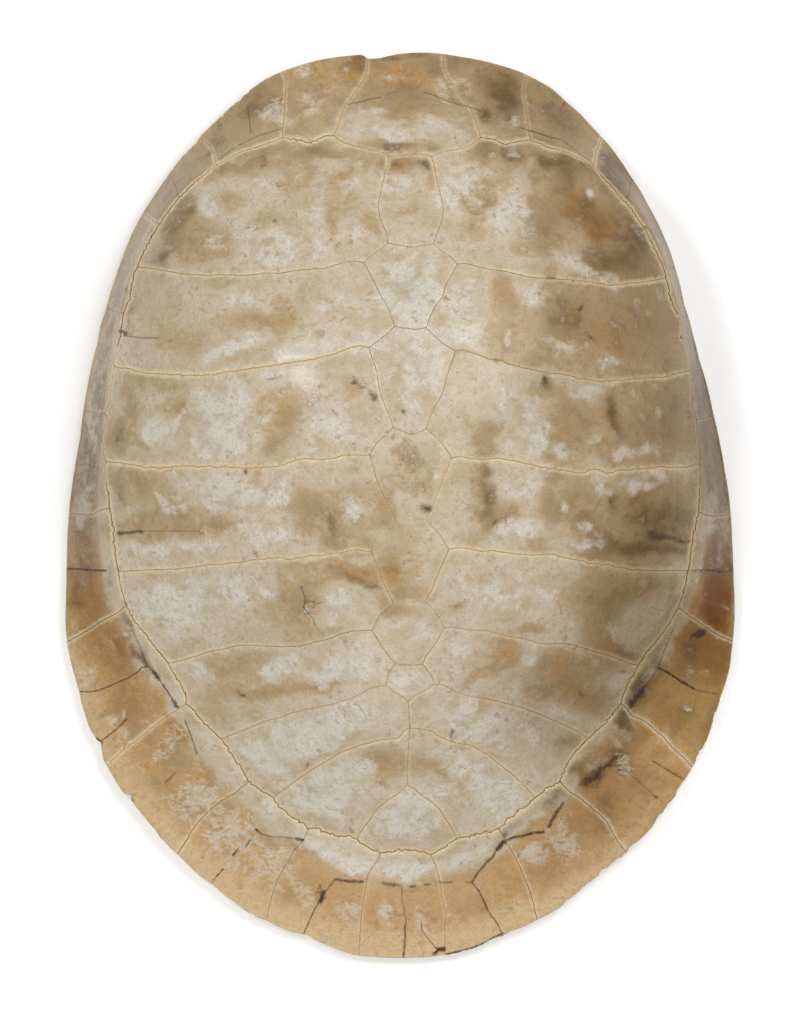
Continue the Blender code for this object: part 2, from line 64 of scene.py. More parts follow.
# The rim with its nicks and chips, clockwise from over the neck
RIM = [
    (415, 53), (430, 53), (445, 54.5), (460, 57), (480, 60.5), (500, 65.5), (520, 72), (540, 82), (552, 89),
    (565, 101), (580, 114), (590, 125), (600, 135.5), (610, 146.5), (620, 160), (630, 175.5), (640, 190.5),
    (648, 205), (656.5, 220.5), (664, 237), (670.5, 253), (675, 268), (679, 281.5), (684, 305), (688, 316),
    (693, 335), (699, 360), (706, 382), (712, 408), (714, 417), (720, 444), (724.5, 470), (728.5, 493),
    (730.5, 513), (732, 540), (733, 561), (733.5, 580), (734.5, 600), (734.5, 618), (733, 639), (731.5, 651),
    (729.5, 668), (725.5, 683), (722, 693), (718, 706), (715, 715), (711, 728), (706.5, 740.5), (702, 749),
    (699, 751), (697, 759), (692.5, 767), (686.5, 777), (682, 782.5), (677, 790), (675, 797), (668, 804),
    (664, 811), (658, 818), (652, 827), (645.5, 834), (638.5, 841), (632.5, 844.5), (626.5, 852.5),
    (621, 857.5), (616.5, 859), (610, 866.5), (602.5, 869.5), (598, 876), (590.5, 882.5), (583, 887),
    (575.5, 894.5), (566, 902), (560.5, 907), (550, 913.5), (537, 920), (523.5, 927), (510, 932.5),
    (502, 936.5), (491, 939.5), (487, 943), (476, 947.5), (465, 951), (455, 953.5), (448, 955),
    (440, 955), (434, 956.5), (431, 957), (420, 957.5), (405, 958), (390, 958), (375, 957),
    (360, 956), (350, 954), (340, 950.5), (328, 945.5), (315, 939.5), (311, 937), (307, 935), (300, 934),
    (290, 931.5), (278, 926.5), (267, 920.5), (258.5, 918), (248, 912.5), (235, 902.5), (222, 893),
    (210.5, 883), (200, 876), (190, 866.5), (177.5, 854), (168, 846.5), (160, 838), (157, 833), (155, 830),
    (152.5, 828), (145, 818), (137.5, 809), (131, 801), (131.5, 796), (127, 794.5), (124, 793.5),
    (118, 785), (112.5, 775.5), (107.5, 767), (104, 761), (101, 751), (101, 743), (97, 740), (94.5, 736),
    (90.5, 731), (86, 718), (81.5, 703), (79, 690.5), (76, 681), (72.5, 668), (68.5, 653), (67, 642),
    (66, 631.5), (65.5, 617), (66, 600), (66.5, 581), (67, 561.5), (67.5, 540), (68.5, 520), (71, 495),
    (74, 474), (76.5, 458), (80.5, 436.5), (83.5, 410.5), (87, 390.5), (91.5, 366.5), (97.5, 343.5),
    (100.5, 326), (105.5, 311.5), (110.5, 293), (115.5, 278), (122.5, 258), (130.5, 237.5), (142.5, 214),
    (150, 202.5), (160, 187.5), (171, 171.5), (180.5, 159), (190, 148.5), (200, 137), (220, 117.5),
    (231, 107), (240, 99.5), (248, 92), (264.5, 80), (280, 72.5), (300, 65.5), (320, 60), (340, 57),
    (361, 55), (364, 56), (368, 59), (374, 59), (380, 58.5), (386, 57), (390, 56), (400, 54),
]
# Where the rim is ragged, as (first pixel, last pixel, depth of the notches in mm)
RAGGED = [((676, 793), (548, 914), 1.3), ((124, 792), (180, 856), 1.3), ((250, 91), (160, 187), 1.6),
          ((210, 883), (262, 919), 1.0), ((722, 692), (690, 772), 1.3), ((548, 914), (450, 952), 0.9),
          ((66, 640), (104, 760), 0.9)]

# How a spoke from the crown falls over the ring and the border to the foot, by its angle from the head end
# in degrees, the same left and right. Heights and widths are in metres.
SPOKE_ANGLES = [0, 22, 42, 62, 84, 102, 118, 137, 158, 180]
RING_HEIGHT = [0.062, 0.060, 0.056, 0.058, 0.062, 0.058, 0.049, 0.038, 0.033, 0.031]
RING_SLOPE = [0.75, 0.85, 1.20, 1.40, 1.45, 1.30, 1.05, 0.82, 0.72, 0.68]
EDGE_HEIGHT = [0.0165, 0.0150, 0.0110, 0.0095, 0.0090, 0.0090, 0.0095, 0.0110, 0.0100, 0.0085]
EDGE_SLOPE = [0.30, 0.45, 2.20, 3.20, 3.00, 1.30, 0.50, 0.22, 0.15, 0.10]
FOOT_HEIGHT = [0.0080, 0.0060, 0.0000, 0.0000, 0.0000, 0.0000, 0.0000, 0.0030, 0.0015, 0.0000]
FOOT_WIDTH = [0.005, 0.005, 0.013, 0.014, 0.014, 0.013, 0.006, 0.005, 0.005, 0.005]
FOOT_FLAT = (46, 110)
HEIGHT = 0.175
CROWN_FALL = 0.100
# Places on the ring, where the dome of rib plates meets the border bones
RING = [
    (282, 139), (530, 141), (216, 166), (593, 165), (160, 224), (644, 228), (137, 267), (665, 279),
    (114, 367), (688, 372), (106, 461), (699, 464), (110, 508), (697, 512), (119, 571), (687, 571),
    (126, 604), (678, 607), (168, 663), (637, 666), (187, 704), (622, 704), (222, 740), (588, 738),
    (273, 797), (535, 799), (308, 828), (500, 827), (408, 136), (405, 850),
]
TURN = 2 * math.pi
# How many harmonics each smooth curve has
RING_WAVES, SPOKE_WAVES, RIM_WAVES = 5, 6, 22


def polar(points):
    """Angles from the head end, positive to the right, and distances from the crown."""
    away = np.atleast_2d(points) - CROWN
    return np.arctan2(away[:, 0], away[:, 1]), np.hypot(away[:, 0], away[:, 1])


def from_polar(angle, radius):
    return np.column_stack([np.sin(angle), np.cos(angle)]) * radius[:, None] + CROWN


def hermite(share, start, start_slope, end, end_slope):
    s, s2, s3 = share, share ** 2, share ** 3
    return ((2 * s3 - 3 * s2 + 1) * start + (s3 - 2 * s2 + s) * start_slope
            + (3 * s2 - 2 * s3) * end + (s3 - s2) * end_slope)


def wave_through(angles, values, waves):
    """The smooth closed wave, a sum of this many harmonics, that runs nearest to the values."""
    def terms(angle):
        orders = np.arange(1, waves + 1) * np.atleast_1d(angle)[:, None]
        return np.column_stack([np.ones(len(orders)), np.cos(orders), np.sin(orders)])
    weights = np.linalg.lstsq(terms(angles), values, rcond=None)[0]
    return lambda angle: terms(angle) @ weights


BOTH_SIDES = np.radians([-a for a in SPOKE_ANGLES[:0:-1]] + SPOKE_ANGLES)


def spoke_wave(table):
    return wave_through(BOTH_SIDES, np.array(table[:0:-1] + table), SPOKE_WAVES)


def by_spoke(table, angle):
    return np.interp(angle, BOTH_SIDES, table[:0:-1] + table)


ring_height, ring_slope = spoke_wave(RING_HEIGHT), spoke_wave(RING_SLOPE)
edge_height, edge_slope = spoke_wave(EDGE_HEIGHT), spoke_wave(EDGE_SLOPE)
ring_radius = wave_through(*polar([plan(p) for p in RING]), RING_WAVES)
rim_angles, rim_radii = (np.array(a) for a in zip(*sorted(zip(*polar([plan(p) for p in RIM])))))
all_round = np.linspace(-math.pi, math.pi, 4000, endpoint=False)
smooth_rim = wave_through(all_round, np.interp(all_round, rim_angles, rim_radii, period=TURN), RIM_WAVES)


def wobble(points, size, seed, detail=1):
    """Smooth noise from about -1 to 1 over points of two or three coordinates, its waves this long."""
    shift = Vector((seed * 17.3, seed * 5.1, seed * 9.7))
    return np.array([noise.fractal(Vector((*p, 0)[:3]) / size + shift, 0.8, 2.0, detail) for p in points])


PAST_SMOOTH_RIM = 1.05


def surface_height(angle, radius):
    """Height of the smooth outer surface, without its seams."""
    ring, rim = ring_radius(angle), smooth_rim(angle)
    u = np.minimum(radius / ring, 1.0)
    fall, pitch = HEIGHT - ring_height(angle), ring_slope(angle) * ring
    fourth = (6 * fall - 4 * CROWN_FALL - pitch) / 2
    sixth = fall - CROWN_FALL - fourth
    dome = HEIGHT - CROWN_FALL * u ** 2 - fourth * u ** 4 - sixth * u ** 6
    width = rim - ring
    v = np.clip((radius - ring) / width, 0.0, PAST_SMOOTH_RIM)
    border = hermite(v, ring_height(angle), -ring_slope(angle) * width, edge_height(angle),
                     -edge_slope(angle) * width)
    return np.where(radius < ring, dome, border)


def on_surface(points):
    """Plan points lifted onto the outer surface, and the surface's normals there."""
    nudge = MM

    def height(dx, dy):
        return surface_height(*polar(points + (dx, dy)))

    east, north = height(nudge, 0) - height(-nudge, 0), height(0, nudge) - height(0, -nudge)
    normals = np.column_stack([-east, -north, np.full(len(points), 2 * nudge)])
    normals /= np.linalg.norm(normals, axis=1, keepdims=True)
    return np.column_stack([points, height(0, 0)]), normals


def border_stretch(angle):
    width = smooth_rim(angle) - ring_radius(angle)
    return np.hypot(width, ring_height(angle) - edge_height(angle)) / width


def laid_out(points):
    """Plan points with the steep border bones laid flat, where the facets and the seams are made."""
    angle, radius = polar(points)
    past = np.maximum(radius - ring_radius(angle), 0)
    return from_polar(angle, radius + past * (border_stretch(angle) - 1))


def folded_back(points):
    """The plan points that laid_out() gives these for."""
    angle, radius = polar(points)
    past = np.maximum(radius - ring_radius(angle), 0)
    return from_polar(angle, radius + past * (1 / border_stretch(angle) - 1))


# The looks of a seam, as (dark of its line, rust stain, pale bone beside it, width of its zigzag in mm)
LOOKS = {
    "hairline": (0.70, 0.00, 0.38, 0.14), "pencil": (0.62, 0.25, 0.80, 0.42),
    "rust": (0.25, 0.52, 0.60, 0.25), "stitched": (0.50, 0.45, 0.95, 0.95),
    "crack": (0.95, 0.10, 0.75, 0.30), "faint": (0.35, 0.30, 0.32, 0.18),
    "lace": (0.85, 0.50, 0.90, 1.15), "white": (0.15, 0.20, 0.45, 0.05),
    "ring": (0.95, 0.40, 0.95, 0.75),
}
# The seams between the bones, each from one joint to the next, as (look, points). Where the look changes on
# the way, the looks at both ends are given.
SEAMS = [
    # the ring between the rib plates and the border bones, from the nuchal bone back, left and right
    ("ring", [(334, 136.5), (325, 137), (318, 140), (308, 144.5), (302, 141), (295, 140.5), (283, 139)]),
    ("ring", [(283, 139), (270, 144), (255, 149), (243, 152), (230, 158), (217, 166)]),
    ("ring", [
        (217, 166), (205, 175), (197, 181), (180, 198), (170, 210), (160, 225), (152, 238), (145, 251),
        (140, 263), (138, 268)]),
    ("ring", [
        (138, 268), (134, 275), (132, 287), (130, 299), (127, 305), (124, 313), (122, 325), (121, 336),
        (119, 345), (116, 353), (115, 366.5)]),
    ("ring", [
        (115, 366.5), (113, 378), (112, 390), (111, 399), (108, 408), (106, 414.5), (108, 421),
        (108, 429), (105.5, 436), (104.5, 443), (104, 452), (106.5, 461.7)]),
    ("ring", [
        (106.5, 461.7), (105.5, 470.5), (107, 483), (109, 495), (110, 508), (112.5, 520), (115, 532),
        (115, 545), (116, 555), (118, 565), (119, 571)]),
    ("ring", [
        (119, 571), (121, 585), (124, 595.5), (128, 608), (133, 618), (140, 627.5), (147.5, 636.5),
        (155, 646), (162, 655.5), (168.5, 663.2)]),
    ("ring", [
        (168.5, 663.2), (172.5, 671.5), (179, 681), (184, 691), (187, 698), (186, 704), (192.5, 708.5),
        (197, 714.5), (203, 722.5), (212, 730), (221.5, 739)]),
    ("ring", "lace", [
        (221.5, 739), (226.5, 745.5), (233, 756), (240, 765.5), (249, 781), (255, 785.5), (263, 791),
        (273, 797)]),
    ("lace", [(273, 797), (280, 806.5), (288, 813), (298, 819.5), (303, 823.5), (308, 828.5)]),
    ("lace", [(308, 828.5), (318, 828), (326, 832.5), (335, 835), (345, 835.5), (356.5, 838.5)]),
    ("lace", [(356.5, 838.5), (362, 844), (370, 848), (376, 850.5), (380.5, 853)]),
    ("ring", [
        (480, 139), (490, 140), (497, 142), (504, 146), (512, 144), (520, 142.5), (530, 141), (540, 145),
        (550, 149), (560, 151), (570, 154.5), (580, 160), (593, 166)]),
    ("ring", [
        (593, 166), (600, 176), (610, 187), (620, 198.5), (630.5, 210), (637, 220.5), (644, 229),
        (650, 242), (655.5, 252), (660, 262), (664, 272.5), (665, 279)]),
    ("ring", [
        (665, 279), (666.5, 283), (669, 296), (672, 306), (677, 316), (680, 322), (680, 338), (684, 347),
        (687, 360), (688.5, 372)]),
    ("ring", [
        (688.5, 372), (690, 384), (690, 399), (692.5, 410), (696, 420), (696, 432), (698, 442),
        (699, 455), (699, 464)]),
    ("ring", [
        (699, 464), (699, 482), (698, 497), (697.5, 512), (695, 525), (692, 537), (690.5, 551),
        (689.5, 562), (687.5, 570.5)]),
    ("ring", [
        (687.5, 570.5), (686, 577), (684.5, 587), (681, 599), (678, 608), (672.5, 617.5), (667, 627),
        (660.5, 636), (652.5, 645.5), (645.5, 654), (638, 665)]),
    ("ring", [
        (638, 665), (632.5, 675), (627, 684), (622.5, 694), (621, 703), (615, 710), (610, 716),
        (606.5, 722), (598, 729), (592, 735), (588, 738.5)]),
    ("ring", "lace", [
        (588, 738.5), (580, 746.5), (572.5, 756), (566.5, 765), (562.5, 774), (560, 781), (552, 785.5),
        (543, 791.5), (535, 798)]),
    ("lace", [(535, 798), (527, 804), (518, 811), (509.5, 818), (503, 824), (499, 828.5)]),
    ("lace", [(499, 828.5), (487, 831), (475, 834), (464.5, 836.5), (457, 838.5)]),
    ("lace", [(457, 838.5), (452, 841.5), (445, 847), (438, 850), (431, 854.5)]),
    ("lace", [(380.5, 853), (390, 851.5), (400, 850), (410, 850), (420, 851), (431, 854.5)]),
    # the nuchal bone over the neck
    ("rust", [
        (368, 52), (368, 62), (366, 75), (360, 86), (352, 97), (345, 107), (341, 117), (338, 128),
        (334, 136.5)]),
    ("rust", [(334, 136.5), (340, 142), (350, 146), (366, 150), (380, 153), (389, 158)]),
    ("rust", [(389, 158), (400, 156.5), (415, 155.5), (425, 156), (431, 158)]),
    ("rust", [(431, 158), (440, 154), (450, 152), (462, 150), (470, 147), (476, 142), (480, 139)]),
    ("rust", [
        (443, 48), (443, 62), (444, 70), (450, 82), (458, 94), (465, 103), (470, 108), (473, 116),
        (477, 127), (480, 139)]),
    # the neural bones, front to rear
    ("pencil", "hairline", [
        (389, 158), (388, 165), (386, 172), (383, 182), (381, 193), (379, 202), (378, 210), (380, 218),
        (381, 223), (386, 233.5), (388, 245)]),
    ("pencil", "hairline", [
        (431, 158), (433, 164), (436, 178), (437.5, 187), (440.5, 198), (443, 208.5), (442, 221),
        (438, 232), (434, 242.5), (433, 246)]),
    ("hairline", [(388, 245), (400, 247.5), (410.5, 249.5), (422, 247.5), (433, 246)]),
    ("hairline", [(388, 245), (380, 251), (371, 257.5), (364, 264.5)]),
    ("hairline", [(433, 246), (440, 251.5), (450, 259), (457, 266)]),
    ("hairline", [(364, 264.5), (369, 274), (375, 285), (380, 296), (386, 305), (391, 317), (394.5, 328)]),
    ("hairline", [(457, 266), (452, 275.5), (446, 285), (442, 298), (434, 309), (429, 320), (426, 329)]),
    ("hairline", [(394.5, 328), (403, 329.5), (416, 331.3), (426, 329)]),
    ("hairline", [(394.5, 328), (385, 337), (379, 341.5), (369, 349)]),
    ("hairline", [(426, 329), (433, 336.5), (442, 345), (455, 352.5)]),
    ("hairline", "faint", [
        (369, 349), (373, 361), (377, 373), (379, 388), (382, 399), (387, 412), (391, 422), (393, 428)]),
    ("hairline", "faint", [
        (455, 352.5), (451, 364.5), (447, 375), (444, 388), (440.5, 398), (434, 408), (430, 418),
        (426, 429.5)]),
    ("hairline", "faint", [(393, 428), (400, 431), (409, 435.5), (418, 434), (426, 429.5)]),
    ("hairline", [(393, 428), (388, 434.5), (380, 441), (373.5, 449), (370, 456)]),
    ("faint", "rust", [(426, 429.5), (433, 436.5), (441, 443.5), (447, 452.5), (451, 458.5)]),
    ("hairline", "faint", [
        (370, 456), (373, 467), (376, 478), (380, 488), (384, 497), (391, 510), (395, 520)]),
    ("rust", "white", [(451, 458.5), (447.5, 468), (443, 478), (438, 492), (430, 511), (425.5, 519.5)]),
    ("white", [(395, 520), (410, 520), (425.5, 519.5)]),
    ("white", "faint", [(395, 520), (378, 533), (374, 543), (371, 551)]),
    ("faint", "rust", [(425.5, 519.5), (431.5, 526), (440, 535), (445, 543), (448.5, 549)]),
    ("faint", "rust", [
        (371, 551), (375, 559.5), (379, 569), (382.5, 580), (387.5, 590), (391.5, 598), (394, 602)]),
    ("rust", [(448.5, 549), (444, 560), (440, 568), (436, 578), (432, 588), (428, 596.5), (425, 600)]),
    ("white", [(394, 602), (410, 601.5), (425, 600)]),
    ("faint", [(394, 602), (388, 607.5), (380, 614), (376, 621.5), (372, 629.5)]),
    ("faint", [(425, 600), (432.5, 607.5), (438, 614.5), (444, 627)]),
    ("rust", "faint", [(372, 629.5), (376.5, 636.5), (382.5, 646), (388, 654), (395.5, 662.5)]),
    ("faint", "rust", [(444, 627), (439, 636), (433, 645.5), (427, 653), (422.5, 663)]),
    ("faint", [(395.5, 662.5), (410, 664), (422.5, 663)]),
    ("faint", [(395.5, 662.5), (390, 670.5), (387, 678), (386, 684.5)]),
    ("rust", [(422.5, 663), (428, 670), (432.5, 676.5), (434, 683)]),
    ("faint", [(386, 684.5), (395, 691), (403, 695), (408, 700)]),
    ("faint", [(434, 683), (427, 688), (417, 693), (408, 700)]),
    ("rust", "hairline", [(408, 700), (409, 710), (409, 720), (410, 726.5)]),
    ("hairline", "rust", [(410, 726.5), (409, 740), (408, 753), (407, 771), (407.5, 784)]),
    # the suprapygal bone
    ("rust", [
        (407.5, 784), (400, 791), (390, 797.5), (382, 804), (375, 811), (369, 820), (363, 828),
        (356.5, 838.5)]),
    ("rust", [
        (407.5, 784), (415, 788), (422.5, 795), (432, 801), (440, 809), (446.5, 819), (452, 828),
        (457, 838.5)]),
    # the rib plates, from the neural bones out to the ring, left
    ("hairline", "pencil", [
        (364, 264.5), (354, 263), (345, 264), (335, 267), (325, 270), (300, 272), (280, 275),
        (265, 274.5), (255, 276), (245, 277), (232, 276.5), (220, 276), (210, 277), (192, 276),
        (182, 275), (170, 273), (160, 271), (150, 269), (138, 268)]),
    ("pencil", "stitched", [
        (369, 349), (360, 347.3), (353, 348.3), (345, 351.5), (335, 355.7), (325, 357.7), (313, 361),
        (300, 362.8), (290, 364.2), (280, 366), (265, 368), (252, 370), (240, 371.7), (225, 373.7),
        (214, 376), (200, 376.5), (180, 376), (165, 375), (150, 374), (138, 372), (130, 369),
        (120, 368.5), (115, 366.5)]),
    ("rust", "stitched", [
        (370, 456), (355, 455.5), (342, 456), (335, 459), (320, 460), (305, 459.3), (293, 462),
        (285, 465), (275, 467.3), (262, 468.3), (250, 469), (240, 468.3), (225, 466.5), (218, 468),
        (210, 466.5), (200, 467.5), (188, 466.2), (175, 467), (162, 468.5), (155, 467.5), (142, 467),
        (135, 465), (125, 464), (120, 463), (106.5, 461.7)]),
    ("rust", "pencil", [
        (371, 551), (366.5, 551), (358, 549), (350, 550.5), (340, 553), (330, 553), (320, 556),
        (313, 555.5), (300, 557.5), (290, 559.5), (280, 557.3), (265, 558.8), (255, 559.5), (245, 561.7),
        (232, 563), (222, 564), (207, 564.5), (200, 566.3), (191, 567.5), (175, 568.8), (160, 569.5),
        (140, 570.3), (125, 571), (119, 571)]),
    ("hairline", "pencil", [
        (372, 629.5), (365, 629.5), (351, 630.5), (340, 633.3), (330, 638), (320, 640), (310, 643),
        (300, 645), (280, 646), (260, 645), (240, 644.5), (228, 647.5), (213, 650.5), (200, 654.8),
        (188, 658.6), (177, 661.6), (168.5, 663.2)]),
    ("faint", "rust", [
        (386, 684.5), (382, 684.5), (375, 685.5), (368, 688), (360, 693.2), (351, 697.3), (340, 700.3),
        (333, 703), (320, 705.3), (305, 709), (292, 712), (280, 716.5), (270, 719), (260, 722.7),
        (250, 727), (240, 731), (230, 735), (221.5, 739)]),
    ("rust", [
        (410, 726.5), (405, 729), (402, 732.7), (399, 736.5), (390, 738), (380, 738.7), (370, 741.5),
        (360, 744), (350, 748.2), (340, 752), (330, 758), (320, 764.2), (310, 770), (300, 777.3),
        (290, 784), (281, 791), (273, 797)]),
    # and right
    ("hairline", "stitched", [
        (457, 266), (465, 265.4), (475, 268), (490, 271.4), (500, 272.5), (515, 276), (528, 279),
        (545, 280.5), (560, 281.3), (580, 283), (595, 284.6), (608, 286.4), (620, 286.2), (630, 284.4),
        (645, 282.7), (655, 281), (665, 279)]),
    ("hairline", "stitched", [
        (455, 352.5), (460, 351.3), (470, 353.4), (480, 357), (488, 360.8), (500, 362), (508, 365.7),
        (520, 368.6), (532, 371), (545, 373.8), (550, 375.5), (557, 374.6), (570, 377.4), (580, 380.4),
        (590, 381.3), (598, 382.9), (605, 382), (620, 381), (635, 379.3), (645, 379), (660, 377.7),
        (668, 376.5), (678, 373.7), (688.5, 372)]),
    ("rust", "stitched", [
        (451, 458.5), (460, 457), (470, 459.6), (485, 460), (500, 459), (510, 461.3), (525, 463.8),
        (537, 466.7), (550, 469.2), (565, 471.2), (575, 473), (581, 473.6), (587, 470), (593, 469),
        (600, 471.6), (607, 474.1), (613, 472.5), (620, 470), (635, 469.5), (650, 468.4), (670, 468.2),
        (688, 467), (693, 464.6), (699, 464)]),
    ("pencil", [
        (448.5, 549), (455, 548), (465, 548), (472, 549), (480, 551.4), (490, 550.5), (500, 551.6),
        (513, 553.6), (530, 555), (545, 554.5), (553, 554), (560, 556.6), (570, 558.8), (582, 560.9),
        (588, 564), (597, 563), (602, 565.8), (607, 563.8), (614, 567.5), (620, 566.8), (628, 569.5),
        (640, 570), (660, 570.6), (675, 570.4), (687.5, 570.5)]),
    ("faint", "pencil", [
        (444, 627), (452, 626.3), (460, 627.5), (471, 629.5), (490, 630.4), (500, 633.6), (510, 636),
        (524, 638), (537, 642.6), (550, 643.5), (561, 643), (570, 643.5), (580, 646.8), (590, 650),
        (603, 653.4), (613, 656.8), (624, 661.5), (630, 663.5), (638, 665)]),
    ("faint", "pencil", [
        (434, 683), (443, 683.8), (450, 687.3), (457, 691.4), (465, 694), (475, 696), (490, 698.7),
        (500, 701), (511, 704), (521, 706.5), (531, 710.5), (541, 714), (551, 718.5), (560, 723),
        (571, 727.5), (580, 733), (588, 738.5)]),
    ("rust", "pencil", [
        (410, 726.5), (420, 727.8), (431, 729.5), (437, 734), (445, 738), (455, 741.5), (463, 743.2),
        (470, 744), (478, 748.2), (487, 753.3), (495, 760), (503, 767), (511, 773), (518, 779),
        (527, 788), (535, 798)]),
    # the border bones, from the ring out to the rim and a little past it, left
    ("rust", [(283, 139), (283, 130), (285, 105), (286, 80), (280, 66)]),
    ("pencil", "faint", [(217, 166), (211, 148), (203, 140), (196, 131)]),
    ("pencil", "rust", [(160, 225), (155, 223), (150, 219), (143, 213), (135, 207)]),
    ("faint", [(124, 314), (106, 309), (95, 306)]),
    ("faint", "rust", [(106, 413.5), (100, 413.3), (92, 412), (83, 411), (74, 410)]),
    ("pencil", "rust", [
        (110, 508.5), (105, 508.5), (98, 511.5), (94, 514.3), (88, 515), (80, 514), (70, 513.6),
        (60, 513)]),
    ("crack", [
        (127, 605.5), (124, 607), (120, 611), (115, 614.3), (107, 618.4), (99, 622.7), (90.5, 628.3),
        (82, 634), (74, 638), (67, 642.5), (58, 647)]),
    ("rust", "pencil", [
        (186, 704), (180.5, 707.3), (173, 712.3), (164, 718), (157, 723.5), (147, 731.5), (137, 739.5),
        (127, 747), (119, 754), (112.5, 760), (107, 766), (101, 773)]),
    ("hairline", "crack", [
        (249, 781), (242, 786.5), (235, 793), (227, 797.3), (220, 801.5), (212, 808), (205, 815),
        (198, 822.3), (192, 830), (188, 838), (182, 847), (177.5, 853.5), (171, 862)]),
    ("hairline", [
        (308, 828.5), (305, 836), (301, 843), (294.5, 849), (290.5, 857), (286.5, 864), (281.5, 872),
        (277.5, 880), (274, 890), (271.5, 897), (269, 908), (267, 918), (265, 928)]),
    ("rust", "hairline", [
        (380.5, 853), (377, 861), (371, 869), (367, 877), (366, 886), (364, 897), (362, 908), (361, 920),
        (360, 936), (359, 950), (359, 966)]),
    # and right
    ("rust", [(530, 141), (528, 132), (527, 120), (525.5, 106), (523, 90), (525, 82), (529, 70)]),
    ("pencil", [(593, 166), (595, 158), (596, 151), (599, 146), (601, 137), (604, 128)]),
    ("faint", [(644, 229), (648, 226), (652.5, 225), (656, 220), (664, 212)]),
    ("faint", [(679.5, 320.5), (687.5, 316), (696, 311)]),
    ("pencil", "faint", [(696, 420), (703, 418.8), (708, 417.3), (713, 414), (721, 409)]),
    ("pencil", "rust", [
        (697.5, 512), (704, 514.8), (712, 516.4), (720, 516.2), (727, 514.6), (730.5, 513), (740, 511)]),
    ("crack", [
        (678, 608), (683, 611), (690, 617), (697, 621), (705, 626.7), (714, 632.3), (722, 637),
        (732, 641), (740, 645)]),
    ("crack", [
        (621, 704), (627, 708.8), (632, 716), (640, 718.5), (647, 722.8), (654.5, 729.5), (663, 736.5),
        (671.5, 746.5), (680, 754), (685, 758.8), (692, 767), (698, 775)]),
    ("crack", [
        (560, 781), (566, 788.3), (572, 793), (580, 797.8), (590, 806), (600, 814.5), (607, 821),
        (612, 831.5), (617, 840), (623, 848), (626.5, 852.5), (632, 861)]),
    ("hairline", "crack", [
        (499, 828.5), (503, 835), (507, 842), (513, 852.7), (519, 864.5), (524, 877), (529, 888.5),
        (532.5, 900), (535, 911.5), (537, 919), (539, 928)]),
    ("rust", "hairline", [
        (431, 854.5), (435, 863.5), (438, 872), (440, 882), (441.5, 893), (444, 905), (446, 913),
        (445, 925), (445, 946), (445, 962)]),
]

